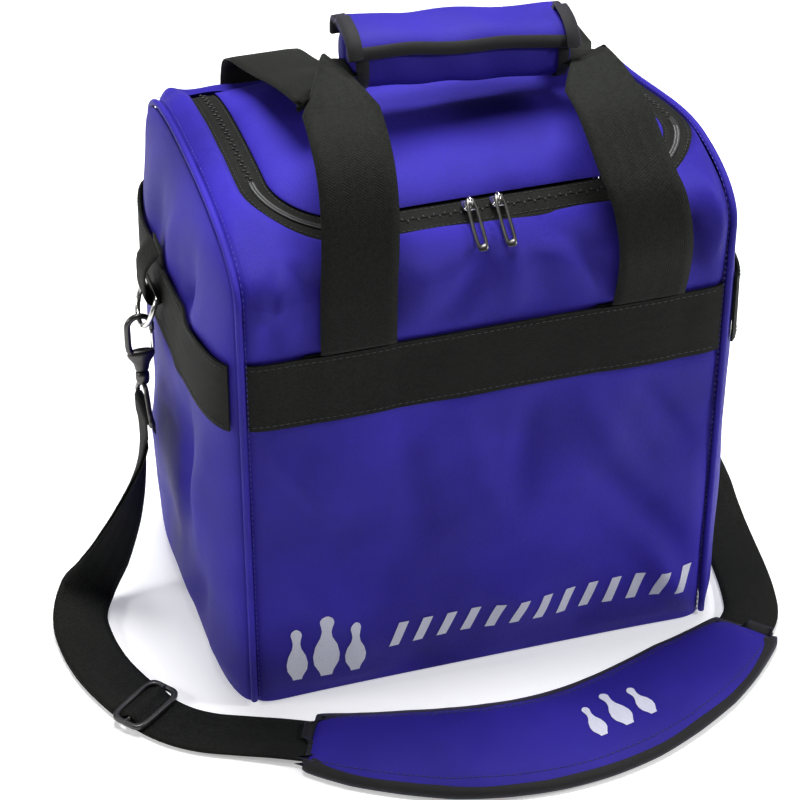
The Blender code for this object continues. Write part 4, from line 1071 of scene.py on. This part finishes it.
for name, edge, into in edges:
    width = 0.0068 if name == "front" else 0.0085
    ups = [(0, -0.93, 0.36)] * len(edge) if name == "front" else []
    if name != "front":
        for k in range(len(edge)):
            step = edge[min(k + 1, len(edge) - 1)] - edge[max(k - 1, 0)]
            up = Vector((1, 0, 0)).cross(step)
            ups.append(up if up.z > 0 or up.y > 0 else -up)
    middle = [p - Vector(n).normalized() * 0.0017 for p, n in zip(edge, ups)]
    tape = bound_edge(f"wrap_flap_tape_{name}", middle, [into] * len(edge), ups, width, 0.0023, BINDING)
    settle(tape, "flap", "binding", *(["wrap_flap_binding"] if name == "front" else []))
print("grip and flap made")

# %% [markdown]
# ## Zip sliders and pulls
# A slider is a small cast body with a bail, and its pull is a pressed leaf with a long slot. Both are
# plated. The leaf is lofted round its slot, so that its edges can be rounded.

# %% Sliders and pulls
def rounded_box(width, height, count=56):
    """Outline of a rounded rectangle, starting at its middle right."""
    found = []
    for k in range(count):
        a = TURN * k / count
        c, s = math.cos(a), math.sin(a)
        power = 0.42
        found.append((width / 2 * math.copysign(abs(c) ** power, c),
                      height / 2 * math.copysign(abs(s) ** power, s)))
    return found


def leaf(name, place, ahead, across, width, length, slot, thick, look):
    """A plate with a slot, its length along ahead, with rounded edges."""
    a, b = Vector(ahead).normalized(), Vector(across).normalized()
    n = a.cross(b)
    outer = rounded_box(width, length)
    inner = rounded_box(slot[0], slot[1])
    edge = thick * 0.32
    rings = []
    for points, grow, lift in ((outer, 0, -1), (outer, -1, -2), (inner, 1, -2), (inner, 0, -1),
                               (inner, 0, 1), (inner, 1, 2), (outer, -1, 2), (outer, 0, 1)):
        height = math.copysign(thick / 2 - (edge if abs(lift) == 1 else 0), lift)
        ring = []
        for x, y in points:
            size = math.hypot(x, y)
            x, y = x + x / size * grow * edge, y + y / size * grow * edge
            y += slot[2] if points is inner else 0.0
            ring.append(Vector(place) + b * x + a * (y + length / 2 - 0.002) + n * height)
        rings.append(ring)
    count = len(outer)
    points = [p for ring in rings for p in ring]
    return outward_faces(new_piece(name, points, grid_faces(len(rings), count, True, True), look))


PULL_SLOPE = math.radians(-146)
PULL_WIDTH, PULL_LENGTH, PULL_THICK = 0.0078, 0.0360, 0.0015
PULL_SLOT = (0.0036, 0.0250, 0.0010)       # width, length, and how far from the middle
# (height, share of the full outline) of the rings of a slider body
SLIDER_RINGS = ((0.0, 0.80), (0.0004, 1.0), (0.0016, 1.04), (0.0026, 0.98), (0.0032, 0.70), (0.0033, 0.05))
for name, x in (("left", -0.0060), ("right", 0.0125)):
    y, z = ZIP_FRONT, height_at(ZIP_FRONT) + 0.0019
    rings = []
    for lift, grow in SLIDER_RINGS:
        rings.append([(x + px * grow, y + py * grow, z + lift)
                      for px, py in rounded_box(0.0096, 0.0105, 32)])
    points = [p for ring in rings for p in ring]
    faces = grid_faces(len(rings), 32, False, True) + [tuple(range(31, -1, -1)), tuple(range(160, 192))]
    body = outward_faces(new_piece(name + "_slider_body", points, faces, NICKEL))
    settle(body, name + "_slider", "nickel", name + "_zip_slider")
    bail = [(x, y + 0.0044 * math.cos(math.radians(a)), z + 0.0026 + 0.0046 * math.sin(math.radians(a)))
            for a in range(-8, 189, 14)]
    settle(rope(name + "_slider_bail", bail, 0.0009, NICKEL, 10, side=(1, 0, 0)), name + "_slider", "nickel")
    pivot = (x, y - 0.0020, z + 0.0056)
    ahead = (0, math.cos(PULL_SLOPE), math.sin(PULL_SLOPE))
    pull = leaf(name + "_pull_leaf", pivot, ahead, (1, 0.05, 0), PULL_WIDTH, PULL_LENGTH, PULL_SLOT,
                PULL_THICK, GUNMETAL)
    settle(pull, name + "_pull", "gunmetal", name + "_zip_pull")
print("sliders and pulls made")

# %% [markdown]
# ## Rings and hooks
# A tab of webbing holds a bent-wire ring at each side, and a swivel hook is clipped to it. The hook is
# a cast body with a bow, a sprung gate, and an eye wide enough for the shoulder strap.

# %% Rings, tabs and hooks
RING_X, RING_Y, RING_Z, RING_DEPTH, WIRE = 0.1882, 0.015, 0.256, 0.027, 0.0018
LEAN = math.radians(20)
HOOK_X = RING_X + RING_DEPTH * math.sin(LEAN) + 0.0004
STRAP = 0.038
STRAP_T = 0.0014
EYE_Z = 0.160
RING_LOW = RING_Z - RING_DEPTH * math.cos(LEAN)


def round_bar(name, spots, look, count=20):
    """A turned shape on an upright axis, from (height, radius) pairs."""
    x, y = spots[0][2], spots[0][3]
    line = smooth_line([(h, r, 0) for h, r, *_ in spots], 3)
    points = [(x + max(p.y, 0.0002) * math.cos(TURN * k / count),
               y + max(p.y, 0.0002) * math.sin(TURN * k / count), p.x)
              for p in line for k in range(count)]
    faces = grid_faces(len(line), count, False, True)
    faces += [tuple(range(count - 1, -1, -1)), tuple(range((len(line) - 1) * count, len(line) * count))]
    return outward_faces(new_piece(name, points, faces, look))


for name, side in (("left", -1), ("right", 1)):
    low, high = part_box(name + "_ring_tab")
    near = min(abs(low.x), abs(high.x)) + WEB_T / 2
    loop = RING_X - near
    path = [(near, 0.034), (near, 0.027), (near, 0.020), (near, 0.004)]
    path += [(RING_X - px, -pz) for px, pz in (polar(loop, a) for a in range(0, 181, 20))]
    path += [(RING_X + loop, 0.006), (RING_X + loop - 0.0012, 0.020), (near + WEB_T + 0.0006, 0.032)]
    line = smooth_line([(side * px, 0.0, RING_Z + pz) for px, pz in path], 3)
    stations = []
    for i, p in enumerate(line):
        step = line[min(i + 1, len(line) - 1)] - line[max(i - 1, 0)]
        stations.append(((p.x, RING_Y - 0.0125, p.z), (p.x, RING_Y + 0.0125, p.z), (step.z, 0, -step.x)))
    settle(strap(name + "_tab_webbing", stations, 0.0015, WEBBING, 6), "bag", "webbing", name + "_ring_tab")

    half = 0.0165
    flat = [(-half, -0.0006), (-half + 0.002, 0.0), (0.0, 0.0), (half - 0.002, 0.0), (half, -0.0006)]
    flat += [(polar(half, a)[0], -RING_DEPTH + half - 0.001 - polar(half - 0.001, a)[1])
             for a in range(0, 181, 12)]
    ring = [(side * RING_X - d * math.sin(LEAN * side), RING_Y + w, RING_Z + d * math.cos(LEAN))
            for w, d in flat]
    settle(rope(name + "_ring_wire", ring, WIRE, NICKEL, 14, closed=True, side=(1, 0, 0)),
           name + "_ring", "nickel", name + "_d_ring")

    bow, wire = 0.0082, 0.0019
    bow_z = RING_LOW + WIRE + 0.0006 + wire - bow
    limb = bow_z - 0.0185
    x, y = side * HOOK_X, RING_Y
    line = [(x + side * bow * 0.35, y, limb - 0.0045), (x + side * bow * 0.85, y, limb - 0.001),
            (x + side * bow, y, limb + 0.004), (x + side * bow, y, bow_z - 0.004)]
    line += [(x + side * bow * math.cos(math.radians(a)), y, bow_z + bow * math.sin(math.radians(a)))
             for a in range(0, 181, 15)]
    line += [(x - side * bow, y, bow_z - 0.0040)]
    limbs = rope(name + "_hook_bow", smooth_line(line, 2), wire, GUNMETAL, 14, side=(0, 1, 0),
                 taper=lambda t: 1.25 - 0.35 * t)
    settle(limbs, name + "_hook", "gunmetal", name + "_hook_body")
    shape = [(limb - 0.0168, 0.0026), (limb - 0.0160, 0.0044), (limb - 0.0125, 0.0052),
             (limb - 0.0060, 0.0060), (limb - 0.0015, 0.0052), (limb - 0.0002, 0.0034)]
    knuckle = round_bar(name + "_hook_knuckle", [(h, r, x, y) for h, r in shape], GUNMETAL)
    for v in knuckle.data.vertices:
        grow = 1 + 0.75 * ease(limb - 0.012, limb - 0.001, v.co.z)
        v.co.x = x + (v.co.x - x) * grow
        v.co.y = y + (v.co.y - y) * 0.72
    settle(knuckle, name + "_hook", "gunmetal")
    gate_low = Vector((x - side * bow, y, limb - 0.0004))
    gate_high = Vector((x - side * bow, y, bow_z - 0.0048))
    gate = [gate_low.lerp(gate_high, k / 8) for k in range(9)]
    gate_bar = rope(name + "_gate_bar", gate, 0.0015, NICKEL, 14, side=(0, 1, 0),
                    taper=lambda t: 0.75 + 0.3 * math.sin(math.pi * t) ** 0.5)
    settle(gate_bar, name + "_gate", "nickel", name + "_hook_gate")

    eye_top = limb - 0.0169
    shape = [(eye_top - 0.0100, 0.0026), (eye_top - 0.0090, 0.0042), (eye_top - 0.0050, 0.0048),
             (eye_top - 0.0015, 0.0044), (eye_top - 0.0001, 0.0028)]
    settle(round_bar(name + "_eye_barrel", [(h, r, x, y) for h, r in shape], GUNMETAL), "bag", "gunmetal")
    span = STRAP / 2 + 0.0028
    frame_line = [(0.004, eye_top - 0.0090), (0.010, eye_top - 0.0108), (span - 0.005, EYE_Z + 0.0088),
                  (span - 0.0008, EYE_Z + 0.0045), (span, EYE_Z + 0.0010), (span - 0.0022, EYE_Z - 0.0008),
                  (span - 0.008, EYE_Z - 0.0008)]
    half_line = smooth_line([(x, y + a, z) for a, z in frame_line], 4)
    back_half = [Vector((p.x, 2 * y - p.y, p.z)) for p in reversed(half_line)]
    eye = rope(name + "_eye_wire", half_line + back_half, 0.0017, GUNMETAL, 14, closed=True, side=(1, 0, 0))
    settle(eye, "bag", "gunmetal", name + "_hook_eye")
print("rings and hooks made")

# %% [markdown]
# ## Shoulder strap
# The strap is one flat cord of 38 mm webbing. It hangs from the left hook, turns on to the floor, goes
# through the pad in front of the bag and comes back up to the right hook. Its end is folded back from
# the left hook to the slider, so the webbing lies double there.

# %% The strap's route
WRAP_R = 0.0027
BAR_Z = EYE_Z - 0.0008
LEFT_WRAP = [((-HOOK_X + polar(WRAP_R, a)[0], RING_Y, BAR_Z + polar(WRAP_R, a)[1]), (0.0, 1.0, 0.0))
             for a in (0, 45, 90, 135, 180)]
LEFT_ROUTE = [
    ((-HOOK_X - WRAP_R, 0.0150, 0.1480), (0.0, 1.0, 0.0)), ((-0.2030, 0.0155, 0.1250), (0.25, 0.97, 0.0)),
    ((-0.2100, 0.0170, 0.0950), (0.60, 0.80, 0.0)), ((-0.2200, 0.0190, 0.0620), (0.85, 0.50, 0.0)),
    ((-0.2330, 0.0190, 0.0330), (0.97, 0.20, 0.0)), ((-0.2480, 0.0140, 0.0130), (1.0, 0.02, 0.0)),
    ((-0.2570, -0.0050, 0.0046), (1.0, 0.0, 0.0)), ((-0.2575, -0.0300, 0.0026), (1.0, 0.08, 0.0)),
    ((-0.2530, -0.0580, 0.0024), (0.95, 0.25, 0.0)), ((-0.2440, -0.0840, 0.0024), (0.90, 0.42, 0.0)),
    ((-0.2330, -0.1060, 0.0024), (0.77, 0.62, 0.0)), ((-0.2180, -0.1260, 0.0024), (0.70, 0.72, 0.0)),
    ((-0.2000, -0.1400, 0.0024), (0.55, 0.83, 0.0)), ((-0.1780, -0.1510, 0.0032), (0.45, 0.90, 0.0)),
    ((-0.1560, -0.1620, 0.0048), (0.45, 0.90, 0.0)), ((-0.1360, -0.1720, 0.0052), (0.44, 0.90, 0.0))]
PAD_ROUTE = [
    ((-0.1100, -0.1860, 0.0052), (0.38, 0.92, 0.0)), ((-0.0800, -0.1980, 0.0052), (0.32, 0.94, 0.0)),
    ((-0.0500, -0.2080, 0.0052), (0.25, 0.96, 0.0)), ((-0.0200, -0.2140, 0.0052), (0.14, 0.99, 0.0)),
    ((0.0100, -0.2165, 0.0052), (0.0, 1.0, 0.0)), ((0.0400, -0.2145, 0.0052), (-0.14, 0.99, 0.0)),
    ((0.0700, -0.2080, 0.0052), (-0.28, 0.96, 0.0)), ((0.1000, -0.1970, 0.0052), (-0.38, 0.92, 0.0)),
    ((0.1300, -0.1830, 0.0052), (-0.45, 0.89, 0.0)), ((0.1560, -0.1690, 0.0052), (-0.52, 0.85, 0.0))]
RIGHT_ROUTE = [
    ((0.1760, -0.1550, 0.0052), (-0.67, 0.74, 0.0)), ((0.1920, -0.1360, 0.0046), (-0.84, 0.55, 0.0)),
    ((0.2000, -0.1120, 0.0034), (-0.96, 0.28, 0.0)), ((0.2050, -0.0850, 0.0028), (-0.99, 0.14, 0.0)),
    ((0.2080, -0.0580, 0.0034), (-1.0, 0.08, 0.0)), ((0.2095, -0.0330, 0.0080), (-1.0, 0.05, 0.0)),
    ((0.2090, -0.0130, 0.0200), (-1.0, 0.0, 0.0)), ((0.2060, 0.0040, 0.0450), (-0.75, -0.60, 0.0)),
    ((0.2025, 0.0120, 0.0780), (-0.35, -0.90, 0.0)), ((0.2005, 0.0145, 0.1150), (-0.10, -0.99, 0.0)),
    ((HOOK_X + WRAP_R, 0.0150, 0.1480), (0.0, -1.0, 0.0))]
RIGHT_WRAP = [((-x, y, z), (0.0, -1.0, 0.0)) for (x, y, z), _ in reversed(LEFT_WRAP)]


def fine_route(route, steps):
    middle = smooth_line([p for p, _ in route], steps)
    found = []
    for i, point in enumerate(middle):
        k = min(i // steps, len(route) - 2)
        part = (i - k * steps) / steps
        start, end = Vector(route[k][1]).normalized(), Vector(route[k + 1][1]).normalized()
        found.append((point, start.lerp(end, part)))
    return found


def strap_stations(route, lift=0.0, width=STRAP):
    points = [Vector(p) for p, _ in route]
    stations = []
    for i, (_, wide) in enumerate(route):
        step = (points[min(i + 1, len(points) - 1)] - points[max(i - 1, 0)]).normalized()
        side = Vector(wide)
        side = (side - step * side.dot(step)).normalized()
        normal = step.cross(side)
        centre = points[i] + normal * lift
        stations.append((centre - side * width / 2, centre + side * width / 2, normal))
    return stations


first = ((-HOOK_X + WRAP_R, RING_Y, BAR_Z - 0.0080), (0.0, 1.0, 0.0))
last = ((HOOK_X - WRAP_R, RING_Y, BAR_Z - 0.0080), (0.0, -1.0, 0.0))
left_fine = fine_route(LEFT_ROUTE, 5)
whole = [first] + LEFT_WRAP + left_fine + fine_route([LEFT_ROUTE[-1]] + PAD_ROUTE + [RIGHT_ROUTE[0]], 4)[1:-1]
whole += fine_route(RIGHT_ROUTE, 5) + RIGHT_WRAP + [last]
stations = strap_stations(whole)
shoulder_strap = strap("shoulder_strap", stations, STRAP_T, WEBBING, 8)
settle(shoulder_strap, "bag", "webbing", "strap_web")
doubled = strap_stations(left_fine, lift=0.0022)[2:49]
strap_end = strap("strap_folded_end", doubled, STRAP_T, WEBBING, 8)
settle(strap_end, "bag", "webbing", "strap_return_web")

# %% [markdown]
# The slider is a moulded frame with a middle bar. The strap passes under its ends and over the bar.

# %% Strap slider
centre, wide = Vector(LEFT_ROUTE[10][0]), Vector(LEFT_ROUTE[10][1]).normalized()
onward = Vector((0, 0, 1)).cross(wide).normalized()
slider_z = centre.z + 0.0030


def frame_ring(name, width, length, bar, height):
    outer = rounded_box(width, length, 64)
    inner = rounded_box(width - 2 * bar, length - 2 * bar, 64)
    rings = []
    for points, grow, lift in ((outer, -0.0005, 0.0), (outer, 0.0, 0.0006),
                               (outer, 0.0, height - 0.0007), (outer, -0.0007, height),
                               (inner, 0.0007, height), (inner, 0.0, height - 0.0007),
                               (inner, 0.0, 0.0006), (inner, 0.0005, 0.0)):
        ring = []
        for a, b in points:
            size = math.hypot(a, b)
            a, b = a + a / size * grow, b + b / size * grow
            p = centre + wide * a + onward * b
            ring.append((p.x, p.y, slider_z - 0.0010 + lift))
        rings.append(ring)
    points = [p for ring in rings for p in ring]
    return outward_faces(new_piece(name, points, grid_faces(len(rings), 64, True, True), MOULDED))


slider = frame_ring("strap_slider_frame", STRAP + 0.0080, 0.0270, 0.0036, 0.0034)
settle(slider, "bag", "plastic", "strap_slider")
bar_ends = [centre + wide * t for t in np.linspace(-STRAP / 2 - 0.002, STRAP / 2 + 0.002, 9)]
bar = rope("strap_slider_bar", [(p.x, p.y, slider_z + 0.0014) for p in bar_ends], 0.0016, MOULDED, 12)
settle(bar, "bag", "plastic")
over = []
for share in np.linspace(-1, 1, 13):
    p = centre + onward * (share * 0.0120)
    z = slider_z - 0.0008 + 0.0046 * math.exp(-(share / 0.42) ** 2)
    over.append(((p.x, p.y, z), (wide.x, wide.y, 0.0)))
loop_over_bar = strap("strap_loop_over_bar", strap_stations(over, width=STRAP - 0.004), 0.0013, WEBBING, 8)
settle(loop_over_bar, "bag", "webbing")

# %% [markdown]
# The pad is a curved piece of foam in violet cloth with a black back. Its rim is bound with tape, and
# the strap goes in at one end and out at the other. It is crowned along its middle and thin at its rim.

# %% Shoulder pad
PAD_WIDTHS = (0.024, 0.031, 0.036, 0.0395, 0.041, 0.0415, 0.0415, 0.041, 0.039, 0.036, 0.030, 0.022)
END_PLACE = tuple(Vector(RIGHT_ROUTE[0][0]) + Vector((0.006, 0.004, 0)))
PAD_LINE = fine_route([LEFT_ROUTE[-1]] + PAD_ROUTE + [(END_PLACE, (-0.72, 0.70, 0))], 8)
PAD_STEPS = len(PAD_LINE) - 1


def pad_point(i, t, lift=0.0):
    """A point of the pad: i steps along it, t from -1 to 1 across it."""
    place, side = PAD_LINE[i]
    side = Vector((side.x, side.y, 0)).normalized()
    u = i / PAD_STEPS
    half = float(np.interp(u * 11, range(12), PAD_WIDTHS))
    ends = (1 - abs(2 * u - 1) ** 7)
    crown = 0.0092 * (1 - abs(t) ** 2.6) ** 0.75 * ends ** 0.6
    quilt = 0.0007 * noise.noise(Vector((place.x * 45, t * 2.0, 5.0)))
    quilt += 0.0010 * noise.noise(Vector((place.x * 18, t, 9.0)))
    crease = -0.0012 * math.exp(-((u - 0.30 - 0.06 * t) / 0.030) ** 2)
    crease -= 0.0010 * math.exp(-((u - 0.66 + 0.08 * t) / 0.035) ** 2)
    z = 0.0058 + crown + (quilt + crease) * (1 - abs(t) ** 4) * ends + lift
    return Vector((place.x + side.x * half * t, place.y + side.y * half * t, z))


ACROSS_PAD = [math.sin(math.pi / 2 * t) for t in np.linspace(-1, 1, 41)]
rows = [[pad_point(i, t) for t in ACROSS_PAD] for i in range(PAD_STEPS + 1)]
pad_top = sheet("pad_top_cloth", rows, VIOLET_PAD, 0.0018, (0, 0, 1), LINING)
settle(pad_top, "bag", "fabric", "pad_top")
rows = [[(*pad_point(i, t).xy, 0.0034) for t in np.linspace(-1, 1, 21)] for i in range(PAD_STEPS + 1)]
pad_back = sheet("pad_back_cloth", rows, LINING, 0.0030, (0, 0, 1))
settle(pad_back, "bag", "fabric", "pad_base")
rim = [pad_point(i, -1) for i in range(PAD_STEPS + 1)]
rim += [pad_point(PAD_STEPS, t) for t in np.linspace(-0.8, 0.8, 9)]
rim += [pad_point(i, 1) for i in range(PAD_STEPS, -1, -1)]
rim += [pad_point(0, t) for t in np.linspace(0.8, -0.8, 9)]
middle_line = [p for p, _ in PAD_LINE]
into, ups = [], []
for k, p in enumerate(rim):
    ahead = rim[(k + 1) % len(rim)] - rim[k - 1]
    inward = Vector((-ahead.y, ahead.x, 0)).normalized()
    nearest = min(middle_line, key=lambda m: (m - p).length)
    inward = inward if inward.dot(nearest - p) > 0 or (nearest - p).length < 1e-4 else -inward
    into.append(inward + Vector((0, 0, 0.20)))
    ups.append(Vector((0, 0, 1)) - inward * 0.18)
rim_line = [Vector((p.x, p.y, 0.0040)) for p in rim]
pad_tape = bound_edge("pad_rim_tape", rim_line, into, ups, 0.0078, 0.0030, BINDING, 0.0010, closed=True)
settle(pad_tape, "bag", "binding")
line = [pad_point(i, -0.78, 0.0003) for i in range(3, PAD_STEPS - 3)]
line += [pad_point(i, 0.78, 0.0003) for i in range(PAD_STEPS - 4, 2, -1)]
pad_thread = stitches("pad_stitches", line, THREAD_BLACK, 0.0026, 0.0014, 0.00028)
settle(pad_thread, "bag", "binding")
print("pad:", PAD_STEPS, "steps long")

# %% [markdown]
# ## Printed pattern
# The front carries a pale printed pattern: three tenpins and a row of slanting strokes. The pad has
# three little pins. Each is a thin film that follows the cloth, so it bends with every fold. A flat
# plate would be easier to draw, but it would stand off the cloth or sink into it.

# %% Print
PIN_SHAPE = ((0.00, 0.42), (0.06, 0.50), (0.20, 0.92), (0.33, 1.00), (0.48, 0.82), (0.62, 0.44), (0.72, 0.34),
             (0.80, 0.40), (0.89, 0.52), (0.96, 0.42), (1.00, 0.10))


def film(name, place, outline, body):
    """A thin print from rows of (left, right, height), laid on a surface by place(a, b)."""
    rows = [[place(left + (right - left) * k / 6, height) for k in range(7)]
            for left, right, height in outline]
    print_ = sheet(name, rows, INK, 0.00012, (0, -0.6, 0.8))
    return settle(print_, body, "fabric")


def pin_outline(a, b, height, half):
    shares = np.linspace(0, 1, 30)
    widths = np.interp(shares, [p[0] for p in PIN_SHAPE], [p[1] for p in PIN_SHAPE])
    return [(a - w * half, a + w * half, b + t * height) for t, w in zip(shares, widths)]


def on_front(x, z):
    return on_strip(x, z, 0.00035)


film("front_print_pin_tall", on_front, pin_outline(-0.112, 0.016, 0.056, 0.0092), "bag")
film("front_print_pin_left", on_front, pin_outline(-0.132, 0.016, 0.044, 0.0072), "bag")
film("front_print_pin_right", on_front, pin_outline(-0.092, 0.016, 0.044, 0.0072), "bag")
for k in range(13):
    a = -0.068 + 0.0170 * k
    tall = 0.020
    outline = [(a + 0.007 * t, a + 0.007 * t + 0.0068, 0.030 + tall * t) for t in np.linspace(0, 1, 9)]
    film(f"front_print_stroke_{k + 1:02d}", on_front, outline, "bag")


def on_pad(along, across):
    u = min(1.0, max(0.0, along))
    i = min(int(u * PAD_STEPS), PAD_STEPS - 1)
    part = u * PAD_STEPS - i
    return pad_point(i, across, 0.0004).lerp(pad_point(i + 1, across, 0.0004), part)


for k, (a, size) in enumerate(((0.560, 0.82), (0.615, 1.0), (0.670, 0.82))):
    outline = [(left, right, -0.42 + height) for left, right, height in
               pin_outline(a, 0.0, 0.84 * size, 0.020 * size)]
    film(f"pad_print_pin_{k + 1}", on_pad, outline, "bag")
print("print laid")

# %% [markdown]
# ## Floor and light
# A pale floor and three round lamps: a wide one overhead, one on the left and a small one on the right.

# %% Floor and lamps
floor_mesh = bpy.data.meshes.new("floor")
corners = [(x, y, -0.0006) for x, y in ((-6, -6), (6, -6), (6, 6), (-6, 6))]
floor_mesh.from_pydata(corners, [], [(0, 1, 2, 3)])
floor = bpy.data.objects.new("floor", floor_mesh)
bpy.context.scene.collection.objects.link(floor)
paper = Finish("pale_paper", Specular_IOR_Level=0.1, Emission_Color=(1.0, 1.0, 1.0, 1.0),
               Emission_Strength=0.36)
tone = paper.grain(3.0, 2.0)
paper.colour(paper.blend(tone, (0.86, 0.86, 0.86, 1), (0.88, 0.88, 0.88, 1)))
paper.roughness(0.85 + (tone - 0.5) * 0.1)
floor_mesh.materials.append(paper.material)

world = bpy.data.worlds.new("room")
world.use_nodes = True
world.node_tree.nodes["Background"].inputs["Color"].default_value = (1.0, 1.0, 1.0, 1.0)
world.node_tree.nodes["Background"].inputs["Strength"].default_value = 0.10
bpy.context.scene.world = world
bpy.context.scene.view_settings.view_transform = "Standard"


def lamp(name, place, aim, size, power, colour=(1.0, 1.0, 1.0)):
    data = bpy.data.lights.new(name, "AREA")
    data.shape = "DISK"
    data.size = size
    data.energy = power
    data.color = colour
    item = bpy.data.objects.new(name, data)
    item.location = place
    item.rotation_euler = (Vector(aim) - Vector(place)).to_track_quat("-Z", "Y").to_euler()
    bpy.context.scene.collection.objects.link(item)


lamp("overhead_lamp", (0.05, 0.30, 1.70), (0, 0, 0.2), 0.9, 46.0)
lamp("left_lamp", (-1.60, 0.05, 0.90), (-0.1, 0, 0.2), 0.4, 9.0)
lamp("right_lamp", (1.15, -0.62, 0.95), (0.02, -0.05, 0.18), 0.25, 11.0)
print("lamps set")

# %% [markdown]
# ## Last update
# The scene is brought up to date, so every piece stands in its final place.

# %% Bring the scene up to date
bpy.context.view_layer.update()
